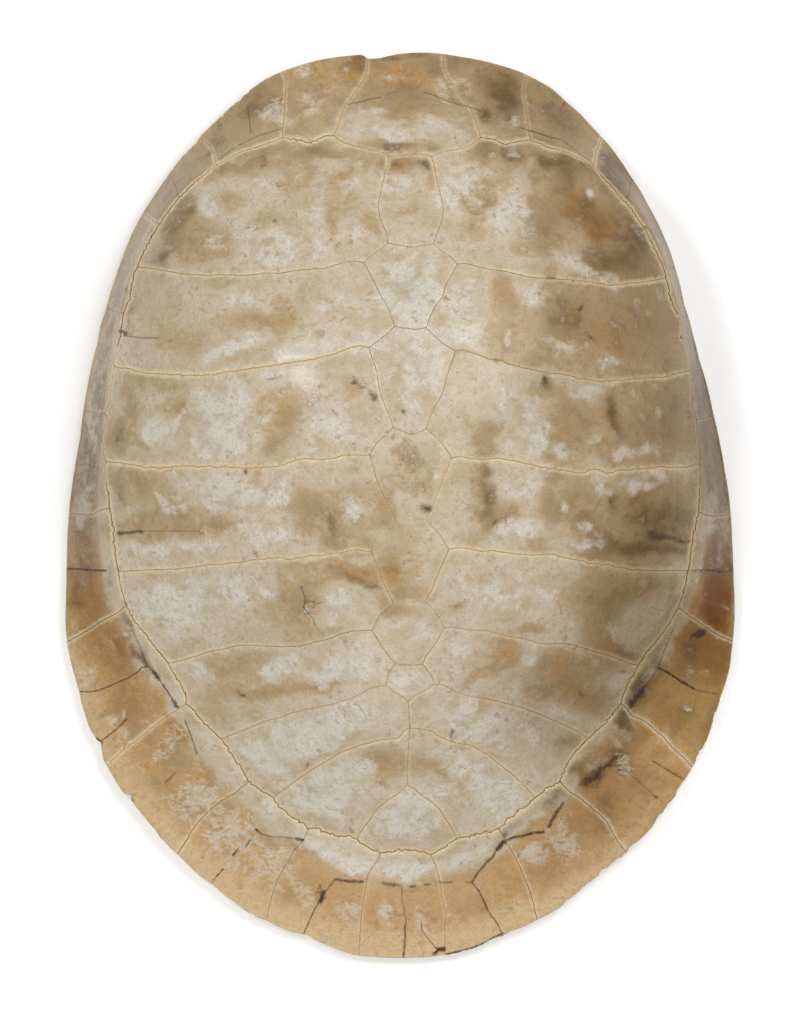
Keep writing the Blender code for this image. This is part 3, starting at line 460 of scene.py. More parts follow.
# The furrows that the horny scutes left over the seams, and cracks, and painted shade in the rim's nicks and
# along its edge at the tail, as (dark, width in mm, points)
FURROWS_AND_RIM_SHADE = [
    (0.55, 0.9, [(348, 105), (361, 103), (370, 100), (380, 98)]), (0.35, 0.8, [(387, 95), (398, 92)]),
    (0.55, 0.9, [(424, 93), (432, 95.5), (440, 99), (450, 103), (460, 106), (470, 108), (480, 112)]),
    (0.75, 1.0, [(519, 129), (530, 132), (545, 137), (560, 140.5)]),
    (0.40, 0.9, [(560, 140.5), (568, 146), (580, 155.5), (592, 165)]),
    (0.45, 1.1, [(283, 130), (272, 133), (260, 137), (252, 140)]),
    (0.60, 0.9, [(252, 140), (240, 146), (230, 152), (220, 160)]),
    (0.55, 0.9, [(248, 107), (250, 122), (251, 134)]), (0.30, 0.9, [(171, 176), (175, 186), (179, 197)]),
    (0.30, 0.8, [(122, 263), (131, 267)]), (0.30, 0.8, [(99, 360), (103, 362), (108, 364.5)]),
    (0.35, 0.8, [(76, 464.5), (88, 464), (96, 467), (99, 468)]),
    (0.95, 1.2, [(66, 568.7), (80, 569), (93, 570), (107, 570.5)]),
    (0.75, 1.0, [(76, 691), (88, 692), (98, 690.5), (108, 686.5), (118, 682.3), (127, 678.5),
                 (137, 672.5), (142, 667.5), (147, 666.5)]),
    (0.75, 1.1, [(99, 743), (110.5, 734), (119, 727), (127, 718.5)]), (0.50, 1.4, [(166, 782), (175, 773)]),
    (0.75, 1.0, [(250, 840), (246, 846)]), (0.85, 1.2, [(238, 849), (233, 855)]),
    (0.85, 1.1, [(223, 869), (216, 877)]), (0.45, 0.8, [(216, 877), (210, 884)]),
    (0.60, 1.1, [(335, 879), (330, 886), (325, 892)]), (1.00, 3.6, [(325, 891), (320, 901)]),
    (0.70, 1.0, [(320, 900), (316, 907), (312, 915), (308, 924), (304, 933)]),
    (0.45, 1.2, [(131, 625), (133, 630), (138, 641), (142, 651), (146, 662), (150, 668)]),
    (0.95, 3.0, [(153, 671), (160, 680)]), (0.75, 1.2, [(160, 680), (167, 690), (172, 698)]),
    (0.95, 2.6, [(173, 700), (177, 706)]), (0.65, 1.0, [(185, 720), (190, 733), (193, 741), (197, 753)]),
    (0.90, 1.8, [(303, 840), (296, 838)]), (0.50, 1.0, [(296, 838), (288, 837), (271, 836), (262, 834)]),
    (0.90, 1.5, [(256, 829), (258, 831)]), (0.90, 2.0, [(335, 879), (342, 880), (350, 881), (363, 881.5)]),
    (0.70, 2.2, [(384, 883), (396, 885)]), (0.70, 1.8, [(410, 886), (415, 886)]),
    (0.60, 1.6, [(425, 884), (430, 884)]), (0.50, 1.4, [(440, 882), (452, 882)]),
    (0.60, 1.2, [(466, 882), (472, 882)]), (0.80, 1.5, [(472, 882), (477.5, 873), (485, 864), (493, 856)]),
    (0.95, 2.6, [(496, 850), (504, 841)]),
    (0.90, 1.8, [(505, 841), (513, 837), (522, 835.5), (535, 832), (543, 832)]),
    (0.85, 2.2, [(549, 826), (552, 820), (557, 811.5), (563, 803)]),
    (0.80, 5.0, [(585, 783), (592, 777), (600, 769)]), (0.80, 2.4, [(600, 770), (608, 764.5), (616, 757)]),
    (0.40, 1.2, [(672.5, 629), (667, 643), (662, 655), (658, 667)]),
    (0.50, 1.3, [(658, 667), (652, 676), (645, 686)]), (0.95, 5.0, [(643, 688), (638, 694), (631, 704)]),
    (0.60, 1.1, [(565, 101), (562.5, 107.5)]), (0.65, 1.1, [(631, 180), (627.5, 196), (626, 199)]),
    (0.35, 0.9, [(674, 268.5), (670, 268), (667, 272)]), (0.35, 0.9, [(690, 363), (693.5, 372)]),
    (0.35, 0.9, [(705, 469), (711, 464)]), (0.60, 0.9, [(692, 570.5), (705, 569.7)]),
    (0.95, 1.4, [(705, 569.7), (715, 570.8), (722, 572)]), (0.60, 0.9, [(722, 572), (736, 570)]),
    (0.95, 1.5, [(657, 667), (665, 671), (673, 676), (680.5, 681), (689, 686), (695, 689.7)]),
    (0.45, 0.9, [(695, 689.7), (706, 692), (718, 694)]),
    (0.60, 1.2, [(653, 761), (666, 769), (678, 776), (688, 782)]),
    (0.35, 0.9, [(622, 767), (645, 787), (656, 797), (663, 803)]),
    (0.80, 1.2, [(472, 882), (479, 891), (483.5, 900), (488, 911)]),
    (0.65, 1.0, [(488, 911), (495.5, 920.5), (500, 929), (503, 940)]),
    (0.45, 1.0, [(402, 886), (402, 898), (404.5, 910), (406, 922)]),
    (0.85, 1.1, [(405, 926), (405, 940), (403, 962)]),
    (0.65, 0.7, [(421, 921), (422, 930), (428, 938), (435, 947)]),
    # From (435, 952) to (504, 933.5), and at (95, 738), (130, 796) and (154, 830), the dark lines are
    # painted shade in the rim's nicks and along its lower edge
    (0.25, 0.6, [(360, 946), (370, 935), (382, 926)]), (1.00, 3.2, [(435, 952), (439, 949), (444, 949)]),
    (1.00, 1.6, [(447, 954), (465, 950), (480, 945), (487, 942)]),
    (0.90, 1.2, [(489, 939.5), (496, 936), (504, 933.5)]), (1.00, 2.0, [(95, 738), (99, 740), (101, 745)]),
    (1.00, 1.6, [(130, 796), (132, 800)]), (0.90, 1.4, [(154, 830), (157, 833), (161, 839)]),
    (0.60, 0.9, [(130, 337), (145, 339), (160, 339)]),
    (0.85, 2.0, [(119, 533), (130, 533), (138, 531), (145, 531.5)]), (0.35, 0.8, [(145, 531), (200, 531)]),
    (0.45, 0.8, [(676, 339), (680, 338)]), (0.45, 0.8, [(268, 381), (275, 380), (283, 377)]),
    (0.55, 0.9, [(302, 585), (303, 590), (306, 597), (306, 601)]),
    (0.55, 1.1, [(306, 601), (304, 606), (309, 612)]), (0.50, 0.8, [(309, 612), (313, 617), (316, 624)]),
    (0.50, 0.9, [(306, 601), (312, 600), (319, 603), (323, 601)]),
    (0.40, 0.7, [(309, 612), (313, 607), (319, 603)]), (0.45, 0.7, [(359, 704), (366, 715)]),
]

# Stains and scraped places are soft ellipses, as (x, y, half width, half height, strength), followed by the
# turn in degrees where there is one. Tanned bone:
TAN = [
    # costal 1, left then right
    (232, 204, 14, 9, 0.7), (212, 245, 30, 22, 0.8), (185, 235, 26, 30, 0.7), (262, 225, 12, 14, 0.6),
    (290, 222, 22, 8, 0.45), (302, 172, 16, 22, 0.7), (345, 180, 14, 14, 0.8), (334, 222, 8, 34, 0.6, -8),
    (350, 205, 14, 18, 0.5), (373, 226, 10, 12, 0.7), (255, 165, 46, 12, 0.7, -22), (320, 150, 50, 8, 0.8),
    (285, 195, 26, 20, 0.3), (367, 165, 20, 10, 0.7), (485, 158, 18, 14, 0.9), (512, 158, 14, 18, 0.9),
    (485, 208, 14, 8, 0.8, -35), (500, 185, 10, 14, 0.6, 20), (478, 200, 20, 18, 0.5),
    (541, 222, 24, 28, 1.0), (470, 226, 20, 5, 0.4), (455, 245, 14, 14, 0.3), (575, 190, 34, 30, 1.2),
    (600, 225, 44, 32, 1.2), (625, 250, 46, 40, 1.0), (560, 215, 20, 12, 0.8), (541, 232, 14, 18, 0.9),
    (526, 252, 9, 6, 0.8), (480, 195, 16, 16, 0.5), (540, 250, 12, 6, 0.6), (545, 270, 8, 8, 0.5),
    (479, 233, 14, 10, 0.6), (535, 178, 12, 14, 0.8),
    # costal 2
    (150, 300, 38, 30, 0.4), (225, 318, 60, 18, 0.22), (180, 345, 50, 18, 0.6), (268, 322, 38, 9, 0.8, -4),
    (303, 300, 12, 22, 0.4), (225, 285, 24, 7, 0.6), (250, 352, 40, 8, 0.5, -22),
    (505, 295, 8, 28, 0.9, -8), (482, 308, 20, 28, 0.5), (560, 325, 30, 34, 0.8), (513, 318, 12, 20, 0.8),
    (545, 320, 22, 40, 0.6), (592, 330, 50, 46, 1.0), (650, 320, 44, 44, 1.0), (500, 345, 16, 18, 0.9),
    (522, 357, 22, 12, 0.9), (447, 292, 6, 12, 0.6),
    # costal 3
    (160, 385, 38, 10, 0.7), (182, 410, 22, 14, 0.9), (133, 405, 16, 30, 0.6), (283, 416, 30, 22, 0.9),
    (276, 448, 22, 14, 0.8, -30), (146, 444, 10, 16, 0.7, -40), (177, 443, 10, 6, 0.4),
    (120, 440, 14, 24, 0.7), (350, 388, 30, 16, 0.5, 20), (300, 390, 14, 10, 0.4), (480, 415, 22, 30, 0.4),
    (562, 428, 20, 36, 1.0), (600, 430, 30, 32, 0.7), (652, 405, 44, 52, 1.0), (540, 392, 14, 12, 0.9),
    (640, 440, 50, 26, 0.6), (487, 443, 18, 18, 0.7), (545, 448, 18, 14, 0.8), (462, 375, 14, 26, 0.25),
    # costal 4
    (150, 488, 40, 20, 0.7), (172, 511, 20, 12, 0.8), (212, 514, 20, 14, 0.4), (155, 530, 62, 16, 1.0),
    (222, 530, 18, 12, 0.5), (256, 505, 30, 14, 0.3), (310, 505, 28, 20, 0.8), (333, 528, 18, 26, 0.9, -15),
    (302, 530, 14, 16, 0.6), (360, 505, 30, 36, 0.7), (386, 510, 12, 24, 0.9, -15), (350, 546, 26, 8, 0.7),
    (128, 480, 20, 14, 0.7), (262, 478, 8, 12, 0.5), (482, 500, 14, 42, 0.8), (505, 512, 16, 12, 0.9),
    (551, 480, 10, 5, 0.8), (575, 505, 13, 36, 0.9), (550, 510, 16, 24, 0.9), (602, 520, 26, 30, 0.9),
    (650, 512, 46, 40, 1.2), (640, 551, 60, 13, 1.0), (534, 545, 13, 9, 0.9), (455, 480, 20, 24, 0.5),
    (470, 540, 10, 10, 0.4),
    # costal 5
    (300, 590, 26, 28, 0.9), (330, 568, 44, 9, 0.8), (362, 573, 34, 12, 0.9), (386, 585, 14, 24, 0.9),
    (275, 608, 24, 18, 0.6), (320, 629, 54, 10, 0.6, -5), (200, 610, 34, 20, 0.3), (240, 632, 20, 12, 0.3),
    (160, 574, 34, 6, 0.5), (185, 646, 30, 6, 0.5, -10), (591, 586, 18, 20, 1.0), (600, 620, 18, 34, 0.9),
    (566, 600, 22, 22, 0.5), (626, 590, 26, 12, 0.7), (655, 580, 30, 8, 0.6), (530, 624, 20, 6, 1.0),
    (620, 648, 22, 8, 1.1, 15), (668, 605, 7, 22, 0.7, 20), (457, 605, 14, 10, 0.5),
    # costal 6
    (240, 664, 36, 18, 0.8), (305, 668, 34, 14, 0.25), (262, 691, 62, 9, 0.9, -5), (330, 683, 24, 5, 0.6),
    (212, 714, 30, 14, 0.6), (253, 712, 12, 8, 0.5), (300, 652, 50, 6, 0.25, -8), (210, 670, 30, 18, 0.35),
    (506, 650, 14, 22, 1.0), (490, 638, 16, 7, 0.6), (478, 677, 28, 5, 0.7, -28), (560, 664, 30, 16, 0.9),
    (566, 690, 36, 14, 0.9, 10), (602, 665, 24, 14, 0.6), (600, 710, 26, 12, 0.7, 20),
    (540, 690, 20, 10, 0.5),
    # costals 7 and 8, and the suprapygal
    (575, 742, 20, 14, 0.8, 30), (532, 735, 34, 12, 0.5, 22), (482, 662, 16, 16, 0.4),
    (385, 760, 30, 20, 0.9), (430, 765, 30, 14, 0.4), (340, 778, 18, 8, 0.6, -30),
    (455, 782, 34, 6, 0.6, 42), (340, 745, 34, 5, 0.5, -25), (480, 750, 34, 5, 0.5, 25),
    (400, 840, 26, 8, 0.5), (300, 765, 40, 4, 0.4, -30),
    # neurals
    (403, 170, 18, 14, 1.0), (436, 182, 8, 12, 0.7), (400, 214, 30, 5, 0.6), (414, 205, 6, 12, 0.4),
    (415, 465, 26, 32, 0.5), (410, 560, 24, 40, 0.40), (390, 576, 12, 26, 0.8, -10), (420, 592, 16, 8, 0.6),
    (402, 610, 22, 8, 0.6), (408, 640, 22, 12, 0.3),
    # nuchal bone and the border bones of the front
    (400, 82, 50, 26, 1.0), (405, 106, 40, 14, 0.6), (352, 72, 18, 16, 1.0), (300, 100, 46, 40, 1.0, -30),
    (245, 120, 44, 30, 1.0, -40), (195, 160, 40, 24, 1.0, -45), (165, 200, 24, 30, 0.8, -35),
    (405, 148, 40, 8, 0.9), (405, 116, 26, 12, 0.5), (490, 100, 46, 44, 1.0, 25),
    (560, 130, 50, 34, 1.0, 40), (620, 185, 40, 26, 0.8, 50),
]
# Golden, where oil has stayed in the bone
GOLD = [
    (350, 70, 14, 11, 0.8), (400, 75, 34, 14, 0.4), (405, 116, 26, 10, 0.3), (400, 172, 18, 10, 0.5),
    (575, 205, 34, 26, 0.85, 20), (600, 228, 24, 16, 0.8), (541, 233, 6, 12, 0.5, -10),
    (505, 296, 7, 24, 0.5, -10), (512, 338, 14, 18, 0.6), (600, 330, 52, 34, 0.5), (562, 430, 14, 30, 0.4),
    (600, 420, 34, 24, 0.3), (575, 512, 10, 26, 0.35), (600, 590, 14, 26, 0.35), (616, 648, 24, 8, 0.8, 15),
    (575, 690, 34, 14, 0.6, 20), (506, 650, 11, 18, 0.6), (475, 676, 18, 4, 0.35, -35),
    (385, 762, 18, 12, 0.6, -10), (425, 758, 18, 6, 0.5, 8), (360, 570, 30, 8, 0.7, 10),
    (392, 575, 8, 24, 0.6, -15), (303, 620, 30, 8, 0.4, -15), (386, 508, 8, 18, 0.5, -15),
    (285, 418, 20, 18, 0.5), (275, 322, 26, 5, 0.45, -6), (290, 305, 12, 10, 0.3),
    (262, 691, 44, 6, 0.5, -6), (240, 665, 20, 12, 0.3), (215, 245, 20, 14, 0.3),
    (335, 230, 5, 28, 0.5, -8), (312, 175, 8, 16, 0.4), (345, 180, 9, 9, 0.5), (488, 205, 12, 5, 0.7, -35),
    (650, 500, 40, 50, 0.3), (560, 664, 20, 10, 0.5), (530, 624, 14, 4, 0.5), (154, 528, 40, 8, 0.3),
    (182, 409, 14, 8, 0.4),
    # border bones of the rear half, left and right
    (78, 560, 12, 24, 1.0), (82, 600, 14, 28, 1.0), (120, 650, 22, 26, 0.4, -30),
    (135, 700, 26, 22, 0.25, -35), (665, 710, 34, 26, 0.8, 35), (716, 600, 20, 34, 1.6),
    (722, 556, 13, 20, 2.2), (715, 660, 18, 22, 0.6), (680, 640, 8, 14, 0.5, 20),
    (600, 745, 26, 10, 0.7, -45), (530, 830, 20, 8, 0.5, -30), (180, 731, 9, 18, 0.9, -30),
    (163, 698, 8, 14, 0.5, -30), (298, 845, 22, 8, 0.6, 28), (585, 776, 9, 12, 0.8, -45),
    (212, 770, 14, 12, 0.5, -40), (320, 880, 26, 16, 0.35, 30), (500, 878, 22, 16, 0.35, -30),
    (165, 315, 50, 30, 0.22),
]
# Olive brown, the deepest stains
OLIVE = [
    (365, 63, 22, 9, 0.7), (448, 66, 30, 9, 0.6), (584, 214, 34, 24, 0.75, 20), (562, 322, 30, 32, 0.5),
    (556, 508, 18, 34, 0.50), (176, 235, 16, 38, 0.5, 25), (158, 258, 12, 14, 0.5),
    (240, 165, 40, 9, 0.4, -22), (320, 152, 40, 6, 0.5, 5), (193, 208, 8, 14, 0.4, 20),
    (395, 168, 14, 8, 0.6), (425, 169, 11, 8, 0.9), (485, 153, 14, 10, 0.6), (512, 155, 10, 12, 0.8),
    (560, 165, 34, 10, 0.8, 18), (632, 236, 38, 56, 0.42, 35), (604, 262, 26, 14, 0.5),
    (541, 226, 16, 24, 0.5), (645, 320, 34, 44, 0.42), (655, 435, 34, 34, 0.35), (614, 415, 8, 24, 0.8),
    (668, 400, 12, 44, 0.4), (655, 515, 38, 34, 0.85), (640, 551, 50, 8, 0.7), (125, 300, 8, 24, 0.4),
    (565, 420, 22, 34, 0.28), (405, 100, 40, 18, 0.55), (250, 120, 40, 26, 0.35, -40),
    (175, 190, 20, 30, 0.35, 40), (122, 435, 10, 24, 0.4), (133, 405, 8, 30, 0.3), (118, 500, 8, 30, 0.6),
    (150, 518, 22, 12, 0.25), (500, 88, 24, 24, 0.8), (510, 110, 14, 16, 0.6), (310, 90, 18, 14, 0.2),
    (330, 125, 10, 10, 0.4), (262, 102, 18, 26, 0.3, 25), (560, 120, 34, 14, 0.6, 40),
    (615, 170, 20, 12, 0.5, 50), (205, 150, 26, 12, 0.5, -45), (488, 436, 18, 24, 0.38),
    (484, 494, 14, 32, 0.75), (508, 512, 12, 8, 0.35, -30), (312, 506, 20, 14, 0.45),
    (335, 528, 7, 20, 0.7, -15), (300, 440, 8, 12, 0.4), (425, 504, 8, 5, 0.8), (415, 470, 22, 26, 0.2),
    (694, 640, 18, 26, 0.55), (690, 700, 26, 30, 0.3), (180, 800, 26, 26, 0.3, -40), (610, 505, 8, 12, 0.6),
    (602, 540, 16, 10, 0.7), (430, 150, 10, 6, 0.3), (395, 148, 18, 5, 0.8), (560, 745, 16, 18, 0.5, 40),
    (590, 765, 12, 20, 0.5, 40), (345, 785, 12, 7, 0.5), (100, 340, 6, 40, 0.3, 8), (300, 600, 14, 22, 0.4),
    (355, 577, 26, 6, 0.6, 14), (540, 388, 8, 12, 0.5), (640, 250, 24, 30, 0.4), (628, 650, 16, 7, 0.6, 15),
    (600, 810, 30, 26, 0.5, -45), (612, 175, 26, 14, 0.5, 50), (645, 730, 30, 12, 0.3, -45),
    (640, 690, 16, 20, 0.6, 35), (600, 700, 20, 20, 0.3), (652, 656, 7, 36, 0.5, 32),
    (128, 616, 7, 16, 0.7, -25), (142, 650, 8, 18, 0.4, -35), (484, 122, 9, 10, 1.0),
    (556, 795, 16, 9, 0.5, -45), (587, 525, 14, 12, 0.5), (620, 735, 24, 22, 0.5, -45),
    (702, 745, 14, 24, 0.3, 30), (618, 760, 16, 12, 0.4), (508, 345, 11, 15, 0.4),
    (505, 300, 7, 24, 0.3, -8), (600, 330, 50, 30, 0.1), (690, 660, 16, 22, 0.5, 20),
    (330, 222, 5, 26, 0.25, -8), (622, 719, 11, 9, 0.6), (571, 773, 9, 9, 0.6), (679, 733, 14, 14, 0.4),
    (716, 712, 8, 22, 0.5, 15), (561, 184, 10, 12, 0.7), (660, 667, 8, 10, 0.6), (624, 762, 8, 10, 0.4),
    (143, 657, 7, 14, 0.6, -35), (400, 57, 50, 5, 0.7), (535, 806, 22, 8, 0.4, -40), (512, 822, 9, 7, 0.5),
    (689, 712, 12, 12, 0.4), (683, 594, 6, 12, 0.5), (114, 578, 6, 14, 0.6), (340, 68, 8, 8, 0.2),
    (482, 905, 10, 14, 0.5, -30),
]
# Scraped clean or bleached, and a painted highlight on the left of the dome
PALE_AND_HIGHLIGHT = [
    # costal 1, left and right
    (250, 232, 26, 30, 0.28), (212, 208, 14, 12, 0.7), (320, 205, 14, 16, 0.6), (300, 245, 40, 18, 0.5),
    (262, 185, 30, 6, 0.6, 35), (358, 185, 10, 22, 0.5), (355, 235, 14, 12, 0.5), (270, 263, 40, 7, 0.4),
    (460, 195, 26, 26, 0.7), (512, 217, 20, 24, 0.7), (572, 266, 28, 9, 0.8, 20),
    (605, 277, 20, 6, 0.8, 25), (594, 194, 7, 7, 0.9), (636, 228, 4, 4, 0.5), (515, 150, 5, 9, 0.6),
    # nuchal and front border bones
    (355, 130, 16, 10, 0.7), (395, 136, 34, 7, 0.8), (440, 128, 20, 12, 0.7, 20), (440, 84, 10, 8, 0.6),
    (310, 103, 12, 12, 0.5), (300, 74, 12, 8, 0.4), (458, 95, 12, 12, 0.4), (275, 118, 12, 10, 0.5, 20),
    (515, 118, 5, 6, 0.8), (372, 112, 14, 8, 0.5), (290, 128, 12, 6, 0.4),
    # neurals
    (400, 192, 14, 10, 0.8), (412, 290, 34, 40, 0.9), (410, 632, 24, 20, 0.5), (412, 375, 30, 40, 0.7),
    (440, 365, 6, 24, 0.9, 14), (438, 465, 5, 20, 0.6, 14), (410, 680, 20, 18, 0.5),
    (345, 350, 40, 9, 0.8, -10), (313, 360, 14, 8, 0.8), (158, 797, 9, 8, 0.3), (216, 241, 12, 8, 0.4),
    (455, 335, 24, 14, 0.6),
    # costal 2
    (340, 310, 24, 20, 0.5), (240, 302, 18, 12, 0.6), (235, 346, 30, 8, 1.0, -22), (475, 310, 22, 30, 0.6),
    (535, 300, 14, 16, 0.6), (562, 350, 20, 6, 0.9, 10), (636, 303, 6, 6, 0.6), (612, 364, 18, 5, 0.9),
    (300, 348, 34, 10, 0.8, -12), (645, 314, 6, 5, 0.5), (210, 352, 12, 8, 0.6), (512, 340, 5, 10, 0.5),
    # costal 3
    (160, 432, 22, 14, 0.9), (225, 412, 44, 26, 0.9), (225, 444, 36, 12, 0.8), (330, 425, 30, 20, 0.5),
    (505, 395, 10, 22, 0.7), (488, 412, 12, 12, 0.4), (530, 430, 22, 30, 0.8), (583, 392, 14, 10, 1.0),
    (655, 405, 5, 26, 0.6), (635, 452, 26, 9, 0.7), (562, 450, 12, 8, 0.9), (590, 440, 8, 8, 0.5),
    (610, 385, 24, 5, 0.5), (150, 390, 8, 14, 0.4),
    # costal 4
    (164, 500, 8, 10, 0.6), (228, 496, 28, 20, 0.9), (285, 492, 10, 14, 0.8), (350, 515, 10, 22, 0.9, 10),
    (178, 510, 14, 10, 0.8), (186, 478, 16, 12, 0.5), (317, 449, 12, 8, 0.5), (262, 496, 14, 14, 0.7),
    (150, 550, 24, 6, 0.7), (200, 548, 26, 7, 0.7), (265, 535, 34, 14, 0.6), (522, 490, 18, 12, 0.7),
    (520, 528, 26, 12, 0.7), (592, 488, 6, 16, 0.8), (561, 512, 5, 16, 0.7), (640, 483, 30, 7, 0.9, -15),
    (582, 543, 28, 6, 0.6), (470, 470, 8, 10, 0.3), (600, 533, 26, 4, 0.6),
    # costal 5
    (175, 605, 36, 26, 1.0), (225, 588, 34, 16, 0.7), (270, 590, 12, 8, 0.7), (342, 598, 10, 24, 0.7),
    (307, 607, 4, 4, 0.9), (500, 590, 40, 26, 0.5), (548, 604, 16, 22, 0.35), (622, 625, 14, 18, 1.0, 20),
    (645, 612, 18, 14, 1.0), (640, 580, 8, 5, 0.4), (328, 598, 10, 4, 0.8, 30),
    (640, 638, 16, 10, 0.8, -30), (465, 580, 5, 20, 0.4, 25),
    # costal 6
    (198, 672, 20, 15, 0.7), (318, 670, 24, 12, 0.6), (278, 670, 20, 10, 0.8, -20), (350, 670, 26, 16, 0.5),
    (285, 652, 20, 5, 0.5, 20), (460, 655, 14, 22, 0.5), (532, 656, 14, 14, 0.8), (516, 690, 16, 10, 0.6),
    (618, 680, 14, 12, 0.8), (560, 710, 24, 8, 0.5, 20), (590, 655, 12, 6, 0.4, 20),
    # costals 7 and 8, suprapygal
    (296, 738, 50, 18, 1.0, -22), (350, 720, 40, 14, 0.5, -20), (255, 755, 26, 16, 0.6, 40),
    (470, 712, 40, 14, 0.6, 15), (530, 738, 30, 10, 0.5, 22), (480, 735, 30, 10, 0.5, 20),
    (330, 790, 36, 24, 1.2, -30), (350, 770, 30, 10, 0.5, -20), (470, 770, 34, 14, 0.7, 35),
    (500, 800, 26, 18, 0.7, 35), (410, 815, 30, 26, 1.0), (290, 775, 16, 16, 0.5, 30),
    # between the ring and the rear furrow, and the sides
    (230, 773, 18, 7, 0.45, 50), (268, 812, 26, 9, 0.7, 40), (318, 846, 24, 8, 0.6, 25),
    (355, 866, 22, 9, 0.9, 15), (405, 868, 28, 11, 1.0), (400, 908, 26, 14, 0.35),
    (285, 742, 30, 12, 0.6, -22), (335, 792, 22, 14, 0.5, -30), (455, 862, 18, 9, 0.9, -20),
    (485, 848, 16, 6, 0.4, -30), (150, 655, 6, 22, 0.25, -35), (178, 695, 5, 14, 0.4, -30),
    (120, 622, 6, 20, 0.12, -20), (106, 580, 7, 34, 0.4, -5), (83, 502, 12, 22, 0.8), (80, 528, 7, 10, 0.8),
    (712, 515, 12, 26, 0.8), (205, 740, 8, 18, 0.4, -30), (698, 556, 5, 34, 0.4, 5),
    (690, 660, 14, 20, 0.18, 20), (652, 655, 4, 20, 0.1, 30), (117, 640, 6, 10, 0.25, -20),
    (118, 715, 16, 6, 0.5, -20), (605, 742, 5, 10, 0.25, -30), (536, 856, 10, 10, 0.7),
    # (272, 376) and (302, 357) are a painted highlight, where the soft gloss lies on the left of the dome
    (584, 755, 5, 10, 0.2, -45), (272, 376, 24, 8, 0.7, -8), (302, 357, 22, 8, 0.8, -10),
    (432, 929, 16, 10, 0.4), (375, 926, 14, 10, 0.4), (87, 409, 7, 20, 0.5), (93, 430, 8, 30, 0.5, 5),
    (447, 787, 14, 10, 0.7, 30), (476, 732, 20, 7, 0.4, 20), (358, 415, 14, 12, 0.5),
]
